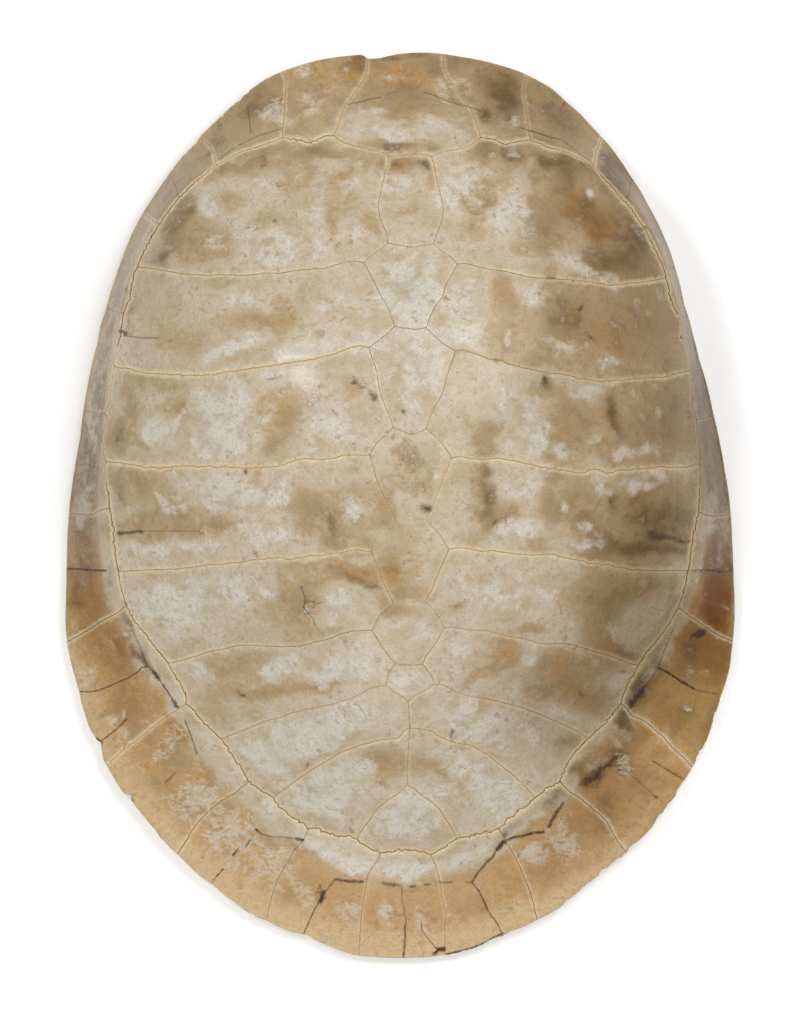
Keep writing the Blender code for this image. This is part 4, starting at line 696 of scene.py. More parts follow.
# Dark spots and smears
DARK = [
    (262, 163, 7, 12, 0.6, -20), (283, 190, 6, 14, 0.35, -35), (548, 105, 12, 10, 0.5),
    (565, 115, 8, 6, 0.4), (376, 398, 6, 7, 0.9), (363, 388, 12, 4, 0.5, 40), (355, 380, 8, 7, 0.5),
    (405, 412, 6, 2.5, 0.9, 35), (425, 504, 9, 6, 0.9), (283, 450, 5, 8, 0.5), (128, 333, 4, 4, 1.0),
    (203, 531, 4, 6, 0.7), (81, 605, 8, 8, 0.6), (78, 537, 5, 4, 0.5), (350, 574, 10, 4, 0.5, 10),
    (366, 580, 12, 4, 0.5, 22), (296, 610, 7, 6, 0.3), (697, 631, 7, 3.5, 1.2), (700, 636, 3, 5, 0.9),
    (692, 635, 3, 4, 0.7), (668, 536, 26, 4, 0.8), (650, 538, 14, 10, 0.5), (651, 508, 5, 24, 0.3),
    (581, 307, 2.5, 7, 0.9), (579, 322, 3, 8, 0.5, -15), (590, 338, 4, 6, 0.6, -30), (540, 382, 3, 8, 0.9),
    (547, 280, 4, 5, 0.8), (541, 238, 2.5, 4, 0.8), (493, 514, 4, 6, 0.6), (610, 506, 5, 6, 0.7),
    (643, 578, 2.5, 4, 0.9), (591, 591, 2, 2, 1.0), (580, 689, 3, 3, 0.9), (570, 682, 8, 2, 0.4, 20),
    (305, 766, 4, 3, 0.9), (350, 828, 6, 4, 0.7), (452, 733, 5, 3, 0.8, -20), (240, 693, 4, 2.5, 0.8),
    (320, 893, 8, 10, 0.5, 25), (505, 842, 14, 6, 0.4, -20), (600, 770, 22, 9, 0.7, -45),
    (645, 683, 10, 14, 0.5, 35), (621, 711, 8, 6, 0.6, -30), (160, 682, 6, 12, 0.3, -35),
    (345, 880, 16, 4, 0.35, 3), (408, 886, 40, 4, 0.35), (110, 740, 12, 4, 0.3, -45),
    (712, 570, 22, 3, 0.5), (715, 618, 12, 8, 0.6), (728, 555, 8, 16, 0.4), (277.6, 224.6, 2, 2, 1.2),
    (146, 762, 3, 3, 0.6), (147, 807, 3, 3, 0.7), (260, 243, 3, 2, 0.35), (198, 850, 2, 2, 1.0),
    (247, 862, 4, 5, 0.5), (205, 857, 2, 2, 0.8), (559, 888, 5, 4, 0.4), (655, 797, 5, 2, 0.7, 30),
    (587, 868, 5, 5, 0.3), (256, 829, 3, 3, 0.6), (233, 270, 3, 4, 0.5), (118, 368, 4, 6, 0.4),
    (118, 330, 3, 10, 0.4), (117, 297, 3, 6, 0.4), (222, 128, 6, 6, 0.5), (212, 142, 5, 4, 0.5),
    (205, 150, 5, 3, 0.5), (246, 98, 5, 4, 0.4), (262, 84, 4, 3, 0.4), (460, 52, 20, 6, 0.2),
    (425, 62, 14, 10, 0.3), (475, 85, 10, 10, 0.3), (484, 118, 8, 6, 0.4), (250, 468, 3, 3, 1.0),
    (254, 551, 3, 3, 0.8), (292, 408, 2, 2, 0.8), (338, 416, 2, 2, 0.7), (317, 386, 6, 8, 0.3),
    (325, 414, 12, 5, 0.35), (145, 508, 2, 2, 0.7), (124, 434, 5, 6, 0.5), (582, 167, 3, 3, 0.8),
    (605, 188, 3, 2, 0.6, 40), (436, 180, 2, 3, 0.8), (450, 202, 2, 2, 0.6), (485, 296, 2, 2, 0.4),
    (470, 307, 3, 3, 0.3), (182, 288, 4, 5, 0.5), (640, 656, 4, 3, 0.5), (348, 638, 2, 6, 0.6),
    (375, 584, 4, 5, 0.3), (458, 602, 6, 5, 0.5), (455, 582, 5, 4, 0.4), (638, 632, 2, 2, 0.8),
    (494, 573, 2, 4, 0.5), (546, 580, 1.5, 3, 0.5), (522, 626, 2, 2, 0.6), (507, 692, 5, 3, 0.5),
    (504, 715, 2, 3, 0.6), (620, 672, 5, 4, 0.5), (468, 514, 3, 3, 0.5), (330, 518, 4, 5, 0.7),
    (323, 496, 3, 3, 0.5), (336, 540, 5, 6, 0.4), (658, 266, 3, 3, 0.4), (127, 604, 4, 7, 0.5, -30),
    (506, 829, 7, 5, 0.8), (688, 574, 3, 6, 0.4), (379, 857, 3, 5, 0.4), (679, 608, 4, 6, 0.5),
    (119, 570, 4, 4, 0.5),
]
# Where the skin of the bone is worn to white lace
WORN = [
    (168, 745, 24, 14, 0.9, -50), (200, 795, 32, 24, 1.0, -40), (230, 834, 32, 22, 1.0, -40),
    (266, 862, 28, 22, 0.9, -30), (626, 766, 12, 16, 0.55), (567, 847, 12, 30, 0.8),
    (536, 856, 16, 14, 1.0), (84, 676, 10, 14, 0.6), (300, 890, 20, 20, 0.6), (345, 915, 14, 20, 0.6),
    (385, 920, 14, 20, 0.6), (455, 915, 14, 20, 0.4), (510, 895, 16, 18, 0.5), (660, 735, 16, 18, 0.4),
    (310, 100, 20, 16, 0.6), (515, 120, 10, 10, 0.8), (450, 90, 14, 14, 0.7), (583, 395, 16, 10, 0.8),
    (562, 350, 22, 8, 0.8), (612, 364, 20, 5, 0.8), (640, 620, 26, 26, 0.6), (272, 105, 10, 16, 0.5, 20),
    (405, 132, 44, 10, 0.5), (128, 735, 16, 12, 0.5),
]
# Where the skin of the bone is crazed
CRAZED = [
    (409, 466, 26, 30, 0.6), (500, 455, 8, 22, 0.7), (314, 398, 14, 20, 0.8), (358, 388, 10, 8, 0.8),
    (240, 104, 8, 16, 1.2, 40), (216, 134, 9, 22, 1.2, 40), (186, 168, 6, 14, 0.7, 40),
    (309, 606, 12, 14, 1.2), (662, 520, 26, 18, 0.6), (470, 480, 20, 26, 0.5), (426, 384, 16, 30, 0.3),
]
# Where it is flaked, so that its surface is uneven
ROUGH = [
    (214, 136, 14, 30, 1.0, 40), (236, 108, 12, 20, 0.9, 40), (176, 168, 8, 16, 0.6, 35),
    (440, 950, 8, 8, 1.0), (600, 868, 10, 34, 0.6, -45), (650, 822, 10, 24, 0.5, -40),
    (306, 608, 9, 9, 0.8), (130, 797, 6, 8, 0.8), (100, 741, 6, 8, 0.8),
]
# Painted shade: where the bone is darkened as a whole, most over the right side and down both side walls
PAINTED_SHADE = [
    (690, 300, 80, 200, 0.5), (720, 620, 40, 60, 0.35), (636, 618, 62, 84, 0.8),
    (540, 110, 90, 60, 0.4, 30), (640, 480, 50, 110, 0.2), (150, 240, 30, 80, 0.2, 25),
    (80, 470, 26, 90, 0.6), (82, 590, 22, 40, 0.6), (716, 440, 26, 130, 0.8), (560, 700, 70, 60, 0.5),
    (560, 340, 60, 150, 0.25), (624, 180, 30, 26, 0.4, 45), (600, 800, 60, 40, 0.4, -45),
    (82, 770, 20, 60, 0.2), (548, 864, 26, 22, 0.3), (108, 650, 18, 30, 0.4, -20),
    (560, 130, 24, 16, 0.2, 30),
]


def strength_at(blobs, points):
    """How strong these stains, soft ellipses, are at each plan point."""
    total = np.zeros(len(points))
    for x, y, half_width, half_height, strength, *turn in blobs:
        away = (points - plan((x, y))) / METRES_PER_PIXEL
        angle = math.radians(sum(turn))
        c, s = math.cos(angle), math.sin(angle)
        across = (away[:, 0] * c - away[:, 1] * s) / half_width
        along = (away[:, 0] * s + away[:, 1] * c) / half_height
        total += strength * np.exp(-(across ** 2 + along ** 2) ** 1.3)
    return total


# The mesh: facets 3 to 4 mm wide, with rows of finer ones along each seam and furrow. The margins keep
# points off the edge of their surface.
SEAM_STEP = 1.4 * MM
CRACK_HALF_WIDTH = 0.55 * MM
BESIDE = 1.8 * MM
BESIDE_MARGIN = 2.6 * MM
FIELD_STEP = 3.6 * MM
FIELD_MARGIN = 3.2 * MM
RIM_STEP = 2.1 * MM
EDGE_IN = 1.6 * MM
INSIDE_STEP = 6.5 * MM
INSIDE_MARGIN = 4 * MM
INSIDE_SEAM_MARGIN = 5 * MM
INSIDE_SEAM_EVERY = 3
INSIDE_SEAM_CLEAR = 2.0 * MM
INSIDE_SEAM_HALF_WIDTH = 1.2 * MM
SPINE_STEP = 4.0 * MM
FIELD_REACH = 0.62
NOTCH_WAVE = 0.012

# The wall of bone, thicker in the border, and how far over the border bones the hollow reaches
BONE, RING_BONE = 0.0070, 0.0095
INSIDE_REACH = 0.72

# The backbone, grown to the inside of the neural bones, and the heads of the ribs that run out from it
BACKBONE_X = 410
BACKBONE_ENDS = (176, 742)
BACKBONE_DEPTH = 0.015
BACKBONE_HALF_WIDTH = 0.011
BACKBONE_FADES = (0.03, 0.05)
VERTEBRA_SWELL = 0.0025
VERTEBRA_REACH = 0.035
RIB_ROOTS = [205, 305, 402, 503, 592, 655, 705]
RIB_TIPS = [((146, 215), (656, 222)), ((120, 318), (680, 325)), ((108, 414), (695, 418)),
            ((111, 516), (695, 518)), ((143, 617), (663, 619)), ((194, 700), (613, 700)),
            ((248, 770), (562, 770))]
RIB_HEAD_REACH = 0.055
RIB_HEAD_DEPTH = 0.013
RIB_HEAD_HALF_WIDTH = 0.0085
RIB_SWELL = 0.0006
RIB_FADE = 0.03
RIB_HALF_WIDTH = 0.014
SPINE_RELIEF = RIB_SWELL * 1.5


def run_of(line):
    return np.concatenate([[0.0], np.cumsum(np.hypot(*np.diff(line, axis=0).T))])


def resampled(line, step):
    """The line with a point about every step, and how far along it each one is, from 0 to 1."""
    run = run_of(line)
    places = np.linspace(0, run[-1], max(3, round(run[-1] / step) + 1))
    return np.column_stack([np.interp(places, run, line[:, i]) for i in (0, 1)]), places / run[-1]


def sideways(line):
    along = np.gradient(line, axis=0)
    along /= np.maximum(np.linalg.norm(along, axis=1, keepdims=True), 1e-9)
    return np.column_stack([along[:, 1], -along[:, 0]])


def tree_of(points):
    tree = KDTree(len(points))
    for i, (x, y) in enumerate(points):
        tree.insert((x, y, 0), i)
    tree.balance()
    return tree


def nearest(lines, points):
    """For each point, the nearest place in the joined lines, counted in their points, and how far it is."""
    joined = np.concatenate(lines)
    ends = np.cumsum([len(line) for line in lines]) - 1
    tree = tree_of(joined)
    found = np.array([tree.find((x, y, 0))[1] for x, y in points])
    place, distance = found.astype(float), np.linalg.norm(points - joined[found], axis=1)
    for step in (-1, 1):
        other = np.clip(found + step, 0, len(joined) - 1)
        other = np.where(np.isin(np.minimum(found, other), ends), found, other)
        way = joined[other] - joined[found]
        share = ((points - joined[found]) * way).sum(axis=1) / np.maximum((way ** 2).sum(axis=1), 1e-12)
        share = np.clip(share, 0, 1)
        closer = np.linalg.norm(points - joined[found] - way * share[:, None], axis=1)
        place = np.where(closer < distance, found + (other - found) * share, place)
        distance = np.minimum(distance, closer)
    return place, distance


def filled(loop, lines, loose):
    """Triangles that fill the loop, with edges along the lines and corners at the loose points."""
    points, edges = list(map(tuple, loop)), [(i, (i + 1) % len(loop)) for i in range(len(loop))]
    for line in lines:
        start = len(points)
        points += map(tuple, line)
        edges += [(start + i, start + i + 1) for i in range(len(line) - 1)]
    points += map(tuple, loose)
    found, _, faces, *_ = delaunay_2d_cdt(points, edges, [], 1, 1e-6)
    used = sorted({i for face in faces for i in face})
    place = {old: new for new, old in enumerate(used)}
    return np.array([tuple(found[i]) for i in used]), [[place[i] for i in face] for face in faces]


def border_of(points, faces):
    """The corners round the edge of these faces, in order of their angle."""
    sides = {}
    for face in faces:
        for a, b in zip(face, face[1:] + face[:1]):
            sides[min(a, b), max(a, b)] = (min(a, b), max(a, b)) not in sides
    corners = np.array(sorted({i for pair, open_side in sides.items() if open_side for i in pair}))
    return corners[np.argsort(polar(points[corners])[0])]


def field_of(step):
    """Points in a triangular pattern over more than the whole shell."""
    rows = np.arange(-FIELD_REACH, FIELD_REACH, step * math.sqrt(3) / 2)
    columns = np.arange(-FIELD_REACH, FIELD_REACH, step)
    return np.array([(x + (j % 2) * step / 2, y) for j, y in enumerate(rows) for x in columns])


def inside_border(points, share, margin):
    """Which of the laid out points lie inside that share of the border bones' width, by a margin."""
    angle, radius = polar(points)
    ring = ring_radius(angle)
    return radius < ring + (rim_at(angle) - ring) * border_stretch(angle) * share - margin


def runs_of(line, inside):
    """The stretches of the line that are inside."""
    cuts = np.flatnonzero(np.diff(inside.astype(int))) + 1
    parts = zip(np.split(line, cuts), np.split(inside, cuts))
    return [part for part, is_inside in parts if is_inside[0] and len(part) > 1]


# Each seam is drawn with its zigzag, a noise over the numbers of its points and its own number, and its look
# is kept at every point of it
JOG_STEP, JOG_ROW, JOG_WAVE, JOG_SIZE = 0.9, 7.7, 1.6, 1.7
seam_lines, seam_looks, seam_runs = [], [], []
for number, (*names, pixels) in enumerate(SEAMS):
    line, share = resampled(laid_out([plan(p) for p in pixels]), SEAM_STEP)
    looks = np.outer(1 - share, LOOKS[names[0]]) + np.outer(share, LOOKS[names[-1]])
    fade = np.minimum(1, 6 * np.minimum(share, 1 - share))
    jog = wobble([(i * JOG_STEP, number * JOG_ROW) for i in range(len(line))], JOG_WAVE, 3, 2)
    line += sideways(line) * (jog * fade * looks[:, 3] * JOG_SIZE * MM)[:, None]
    seam_lines.append(line)
    seam_looks.append(looks)
    seam_runs.append(run_of(line) + number)
seam_looks, seam_runs = np.concatenate(seam_looks), np.concatenate(seam_runs)
furrow_lines = [resampled(laid_out([plan(p) for p in pixels]), SEAM_STEP)[0] for _, _, pixels in FURROWS_AND_RIM_SHADE]
furrow_looks = np.concatenate([np.tile((dark, width), (len(line), 1))
                               for (dark, width, _), line in zip(FURROWS_AND_RIM_SHADE, furrow_lines)])

# The rim's own notches
notches = np.zeros(len(all_round))
for first, last, depth in RAGGED:
    start, end = sorted(polar([plan(first), plan(last)])[0])
    inside = (all_round > start) & (all_round < end)
    rough = wobble([(a, 0) for a in all_round[inside]], NOTCH_WAVE, 5, 3)
    notches[inside] += depth * MM * np.clip(rough + 0.1, 0, 1)


def rim_at(angle):
    return (np.interp(angle, rim_angles, rim_radii, period=TURN)
            - np.interp(angle, all_round, notches, period=TURN))


# Outer surface, laid out flat
even_rim = from_polar(all_round, rim_at(all_round))
rim_run = run_of(np.vstack([even_rim, even_rim[:1]]))
rim_places = np.arange(0, rim_run[-1] - RIM_STEP / 2, RIM_STEP)
spokes = np.interp(rim_places, rim_run, np.append(all_round, math.pi))
ring = ring_radius(spokes)
edge = from_polar(spokes, ring + (rim_at(spokes) - EDGE_IN - ring) * border_stretch(spokes))
both = seam_lines + furrow_lines
beside = np.concatenate([(line + sideways(line) * offset * side)[1:-1:every] for line in both
                         for offset, every in ((CRACK_HALF_WIDTH, 1), (BESIDE, 2)) for side in (-1, 1)])
beside = beside[inside_border(beside, 1.0, BESIDE_MARGIN)
                & (nearest(both, beside)[1] > CRACK_HALF_WIDTH * 0.85)]
field = field_of(FIELD_STEP)
field = field[inside_border(field, 1.0, FIELD_MARGIN)]
field = field[nearest(both, field)[1] > BESIDE * 1.5]
flat, top_faces = filled(edge, both, np.concatenate([beside, field]))
rim_corners = border_of(flat, top_faces)

# What each point of the outer surface is near to
seam_at, seam_distance = nearest(seam_lines, flat)
furrow_at, furrow_distance = nearest(furrow_lines, flat)
top_plan = folded_back(flat)
smooth_top, normals = on_surface(top_plan)
dark, rust, halo, _ = seam_looks[np.rint(seam_at).astype(int)].T
furrow_and_rim_shade_dark, furrow_width = furrow_looks[np.rint(furrow_at).astype(int)].T
furrow_edge = furrow_distance / MM / furrow_width

# How far it lies below the smooth surface in mm: hollows along the seams, their cracks, the furrows, the
# unevenness of the bone in large, middle and small waves, and flakes
SEAM_HOLLOW_REACH = 2.2 * MM
hollow = 0.40 * np.exp(-(seam_distance / SEAM_HOLLOW_REACH) ** 2) * (0.3 + 0.7 * halo)
crack = 0.50 * np.clip(1 - seam_distance / CRACK_HALF_WIDTH, 0, 1) * (0.35 + 0.65 * np.maximum(dark, rust))
furrow = 0.55 * np.exp(-furrow_edge ** 2) * furrow_and_rim_shade_dark
large, middling, small = (depth * wobble(top_plan, wave, seed)
                          for depth, wave, seed in ((0.55, 0.055, 1), (0.22, 0.018, 2), (0.10, 0.006, 4)))
flakes = strength_at(ROUGH, top_plan) * 0.7 * np.clip(wobble(top_plan, 0.0028, 6, 2), -0.3, 1)
dip = hollow + crack + furrow - large - middling - small + flakes
top = smooth_top - normals * (dip * MM)[:, None]

# Rim and foot: the edge drawn out, round, under and in. The bridges under the sides are sawn off flat.
angles = polar(flat[rim_corners])[0]
rim, foot = rim_at(angles), np.maximum(by_spoke(FOOT_HEIGHT, angles), 0)
side = np.degrees(np.abs(angles))
foot[(side > FOOT_FLAT[0]) & (side < FOOT_FLAT[1])] = 0
width = by_spoke(FOOT_WIDTH, angles)
crest = top[rim_corners, 2]
thick = crest - foot
ring = ring_radius(angles)
reach = from_polar(angles, ring + (smooth_rim(angles) - ring) * border_stretch(angles) * INSIDE_REACH)
# The rounding from top to bottom, as (mm in from the rim, share of the edge's thickness above the foot)
ROUNDING = [(0.55, 0.92), (0.0, 0.68), (0.1, 0.40), (0.8, 0.14), (2.0, 0.02), (2.6, 0.0)]
FOOT_SHARES = (0.34, 0.67, 1.0)
outline = [(rim - inward * MM, foot + thick * share) for inward, share in ROUNDING]
outline += [(rim - ROUNDING[-1][0] * MM - width * share, foot) for share in FOOT_SHARES]
rim_loops = [np.column_stack([from_polar(angles, radius), height]) for radius, height in outline]


def backbone_relief(points):
    """How far the backbone and the rib heads stand out of the inner surface at these plan points."""
    middle, front = plan((BACKBONE_X, BACKBONE_ENDS[0]))
    back = plan((0, BACKBONE_ENDS[1]))[1]
    x, y = points[:, 0] - middle, points[:, 1]
    fade = np.clip((front - y) / BACKBONE_FADES[0], 0, 1) * np.clip((y - back) / BACKBONE_FADES[1], 0, 1)
    roots = np.array([plan((0, p))[1] for p in RIB_ROOTS])
    off_root = np.clip(np.abs(y[:, None] - roots).min(axis=1) / VERTEBRA_REACH, 0, 1)
    swell = VERTEBRA_SWELL * np.cos(off_root * math.pi)
    relief = (BACKBONE_DEPTH + swell) * fade * np.exp(-(np.abs(x) / BACKBONE_HALF_WIDTH) ** 3)
    for root, tips in zip(RIB_ROOTS, RIB_TIPS):
        start = plan((BACKBONE_X, root))
        for tip in tips:
            way = plan(tip) - start
            length = np.hypot(*way)
            along = (points - start) @ way / length
            aside = np.abs((points - start) @ np.array([way[1], -way[0]]) / length)
            head = RIB_HEAD_DEPTH * np.clip(1 - along / RIB_HEAD_REACH, 0, 1)
            head = np.where(along > 0, head * np.exp(-(aside / RIB_HEAD_HALF_WIDTH) ** 2), 0)
            rib = RIB_SWELL * np.clip(along / RIB_FADE, 0, 1) * np.exp(-(aside / RIB_HALF_WIDTH) ** 2)
            relief = np.maximum(relief, head) + np.where(along < length, rib, 0)
    return relief


def on_inside(points):
    """Plan points put on the wall of the hollow, under the outer surface."""
    outer, out = on_surface(points)
    angle, radius = polar(points)
    border = np.clip(radius / ring_radius(angle), 0.8, 1.0) * 5 - 4
    inner = outer - out * (BONE + (RING_BONE - BONE) * border)[:, None]
    inner[:, 2] -= backbone_relief(points)
    return inner


# The wall from the foot in and up to the inner surface, bulging a little
WALL_SHARES = (0.12, 0.30, 0.52, 0.76)
WALL_BULGE = 0.35
reach_wall = on_inside(folded_back(reach))
last = rim_loops[-1]
loops_flat = [laid_out(loop[:, :2]) for loop in rim_loops]
last_flat = loops_flat[-1]
for share in WALL_SHARES:
    blend = share + WALL_BULGE * share * (1 - share)
    loop = last + (reach_wall - last) * share
    loop[:, 2] = last[:, 2] + (reach_wall[:, 2] - last[:, 2]) * blend
    rim_loops.append(loop)
    loops_flat.append(last_flat + (reach - last_flat) * share)

# The inner surface: the seams again, and points that lie closer together on the backbone and the ribs
inner_lines = []
for line in seam_lines:
    thinned = line[::INSIDE_SEAM_EVERY]
    inner_lines += runs_of(thinned, inside_border(thinned, INSIDE_REACH, INSIDE_SEAM_MARGIN))
inner_field = field_of(INSIDE_STEP)
inner_field = inner_field[inside_border(inner_field, INSIDE_REACH, INSIDE_MARGIN)]
spine_field = field_of(SPINE_STEP)
spine_field = spine_field[backbone_relief(spine_field) > SPINE_RELIEF]
inner_field = np.concatenate([inner_field[backbone_relief(inner_field) <= SPINE_RELIEF], spine_field])
inner_field = inner_field[nearest(seam_lines, inner_field)[1] > INSIDE_SEAM_CLEAR]
inner_flat, inner_faces = filled(reach, inner_lines, inner_field)
inner_plan = folded_back(inner_flat)
inner = on_inside(inner_plan)
inner_seam_at, inner_seam_distance = nearest(seam_lines, inner_flat)
inner_groove = 0.5 * np.clip(1 - inner_seam_distance / INSIDE_SEAM_HALF_WIDTH, 0, 1)
inner[:, 2] += (inner_groove + 0.5 * wobble(inner_plan, 0.02, 8, 2)) * MM
inner_corners = border_of(inner_flat, inner_faces)
assert len(inner_corners) == len(rim_corners), (len(inner_corners), len(rim_corners))

# All of it in one closed mesh
count = len(rim_corners)
inner_start = len(top) + count * len(rim_loops)
points = np.concatenate([top, *rim_loops, inner])
faces = [list(face) for face in top_faces]
loops = [rim_corners, *(len(top) + count * k + np.arange(count) for k in range(len(rim_loops))),
         inner_start + inner_corners]
for upper, lower in zip(loops, loops[1:]):
    faces += [[int(upper[i - 1]), int(upper[i]), int(lower[i]), int(lower[i - 1])] for i in range(count)]
faces += [[inner_start + i for i in reversed(face)] for face in inner_faces]
mesh = bpy.data.meshes.new("carapace_bone")
mesh.from_pydata(points.tolist(), [], faces)
mesh.update()
mesh.shade_smooth()
mesh.set_sharp_from_angle(angle=math.radians(55))
carapace_bone = bpy.data.objects.new("carapace_bone", mesh)
bpy.context.scene.collection.objects.link(carapace_bone)

# What each point of the whole mesh is near to, and how far the underside's colour has taken over there
loop_flat = np.concatenate(loops_flat)
loop_seam_at, loop_seam_distance = nearest(seam_lines, loop_flat)
loop_furrow_at, loop_furrow_distance = nearest(furrow_lines, loop_flat)
loop_furrow_dark, loop_furrow_width = furrow_looks[np.rint(loop_furrow_at).astype(int)].T
plans = np.concatenate([top_plan, *(loop[:, :2] for loop in rim_loops), inner_plan])
all_seam_at = np.concatenate([seam_at, loop_seam_at, inner_seam_at])
all_distance = np.concatenate([seam_distance, loop_seam_distance, inner_seam_distance])
loop_numbers = np.arange(len(rim_loops))
under_loops = np.repeat(np.interp(loop_numbers, (1, 2, 3, 4), (0, 0.3, 0.8, 1)), count)
under = np.concatenate([np.zeros(len(top)), under_loops, np.ones(len(inner))])
fading = np.repeat(np.clip(1.0 - 0.35 * loop_numbers, 0, 1), count)
no_furrow = np.zeros(len(inner))
FAR_MM = 6

# Stains wander off their ellipses. The border bones are golden or peach at the rear and grey down the sides,
# that grey partly their own and partly painted shade and reflection on the steep walls, and their outer edge
# is pale, each by the spoke's angle.
LEFT_GOLD = [0.30, 0.38, 0.40, 0.25, 0.10, 0.45, 0.65, 0.55, 0.45, 0.35]
RIGHT_GOLD = [0.30, 0.38, 0.40, 0.30, 0.20, 0.50, 1.20, 0.85, 0.65, 0.35]
LEFT_EDGE = [0.15, 0.20, 0.55, 0.80, 0.80, 0.60, 0.60, 0.95, 1.20, 1.50]
RIGHT_EDGE = [0.10, 0.05, 0.20, 0.60, 0.60, 0.10, 0.05, 0.25, 0.95, 1.50]
PEACH = [0.00, 0.00, 0.00, 0.00, 0.00, 0.00, 0.10, 0.45, 0.80, 1.10]
BORDER_GREY_AND_SHADE = [0.00, 0.05, 0.35, 0.80, 1.00, 0.55, 0.00, 0.00, 0.00, 0.00]
drift = [wobble(plans, 0.024, seed) * 7 + wobble(plans, 0.009, seed + 1) * 3.5 for seed in (11, 21)]
drifted = plans + np.column_stack(drift) * MM
spoke_angle, spoke_radius = polar(plans)
across = (spoke_radius - ring_radius(spoke_angle)) / (smooth_rim(spoke_angle) - ring_radius(spoke_angle))
on_border = np.clip((across - 0.12) / 0.25, 0, 1)
border_gold, border_edge = (
    np.where(spoke_angle > 0, by_spoke(right, spoke_angle), by_spoke(left, spoke_angle))
    for left, right in ((LEFT_GOLD, RIGHT_GOLD), (LEFT_EDGE, RIGHT_EDGE)))
seam_near = np.rint(all_seam_at).astype(int)
fields = {
    "seam_mm": all_distance / MM,
    "line_mm": all_distance / MM / (0.35 + 0.65 * seam_looks[seam_near, 0]),
    "seam_run": np.interp(all_seam_at, np.arange(len(seam_runs)), seam_runs),
    "seam_dark": seam_looks[seam_near, 0] * (1 - 0.3 * under),
    "seam_rust": seam_looks[seam_near, 1] * (1 - 0.5 * under),
    "seam_halo": seam_looks[seam_near, 2],
    "furrow_mm": np.concatenate([furrow_edge, loop_furrow_distance / MM / loop_furrow_width,
                                 no_furrow + FAR_MM]),
    # furrows, and painted shade in the rim's nicks and along its edge
    "furrow_and_rim_shade_dark": np.concatenate([furrow_and_rim_shade_dark, loop_furrow_dark * fading, no_furrow]),
    # pale patches, with a painted highlight among them
    "pale_and_highlight": strength_at(PALE_AND_HIGHLIGHT, drifted),
    "olive": strength_at(OLIVE, drifted),
    "tan": strength_at(TAN, drifted),
    # painted shade, none on the inside
    "painted_shade": np.minimum(strength_at(PAINTED_SHADE, plans), 1) * (1 - under),
    "gold": strength_at(GOLD, drifted) + on_border * border_gold,
    # the side walls' grey, partly painted shade and reflection
    "grey_and_shade": on_border * by_spoke(BORDER_GREY_AND_SHADE, spoke_angle),
    "border": on_border,
    "edge": np.clip((across - 0.62) / 0.34, 0, 1) * border_edge,
    "peach": on_border * by_spoke(PEACH, spoke_angle),
    "dark": strength_at(DARK, drifted),
    "worn": strength_at(WORN, drifted),
    "crazed": strength_at(CRAZED, drifted),
    "under": under,
}
for name, values in fields.items():
    mesh.attributes.new(name, "FLOAT", "POINT").data.foreach_set("value", values.astype(np.float32))
print("carapace_bone", len(points), "points", sum(len(f) - 2 for f in faces), "triangles")

# Boiled, bleached and polished bone: ivory to grey where it is clean, golden and olive where oil has stayed,
# rust in the seams, with a soft gloss over fine pores.
polished_bone = bpy.data.materials.new("bleached_polished_bone")
polished_bone.use_nodes = True
tree = polished_bone.node_tree
tree.nodes.clear()


def linear(colour):
    """An sRGB hex colour as the linear RGBA that the shader takes."""
    parts = [int(colour[i:i + 2], 16) / 255 for i in (1, 3, 5)]
    return [c / 12.92 if c <= 0.04045 else ((c + 0.055) / 1.055) ** 2.4 for c in parts] + [1.0]


def add(kind, sockets, **settings):
    """A shader node with its settings, and with the value, link or hex colour of each socket."""
    node = tree.nodes.new("ShaderNode" + kind)
    for name, value in settings.items():
        setattr(node, name, value)
    for socket, value in sockets.items():
        if isinstance(value, bpy.types.NodeSocket):
            tree.links.new(value, node.inputs[socket])
        else:
            node.inputs[socket].default_value = linear(value) if isinstance(value, str) else value
    return node


place = add("TexCoord", {}).outputs["Object"]
of = {name: add("Attribute", {}, attribute_name=name).outputs["Fac"] for name in fields}

# The bone's mottling: its strokes, as (degrees turned about the vertical, mm long, mm wide), and then each
# noise's detail, roughness and distortion. Pores and crazing are cells, drawn large enough to show.
STROKES = {
    "cloud": (0, 60, 60), "smear": (70, 32, 26), "patch": (20, 15, 15), "lace": (50, 13, 8),
    "along": (35, 9, 4.6), "aslant": (-50, 8, 4), "fleck": (0, 5, 5), "speck": (0, 2.4, 2),
    "grain": (0, 1.3, 1.3), "pores": (0, 4.2, 4.2), "crazing": (0, 3.9, 3.4),
}
FEATHER_WIDTH = 0.8 * MM
FEATHER_LENGTH_MM = 7.0
strokes = {}
for name, (degrees, length, width) in STROKES.items():
    strokes[name] = add("Mapping", {
        "Vector": place, "Rotation": (0, 0, math.radians(degrees)),
        "Scale": (1 / (length * MM), 1 / (width * MM), 1 / (width * MM))}).outputs[0]
along_seam, off_seam = (
    add("Math", {0: distance, 1: 1 / size}, operation="MULTIPLY").outputs[0]
    for distance, size in ((of["seam_run"], FEATHER_WIDTH), (of["seam_mm"], FEATHER_LENGTH_MM)))
strokes["feather"] = add("CombineXYZ", {0: along_seam, 1: off_seam}).outputs[0]
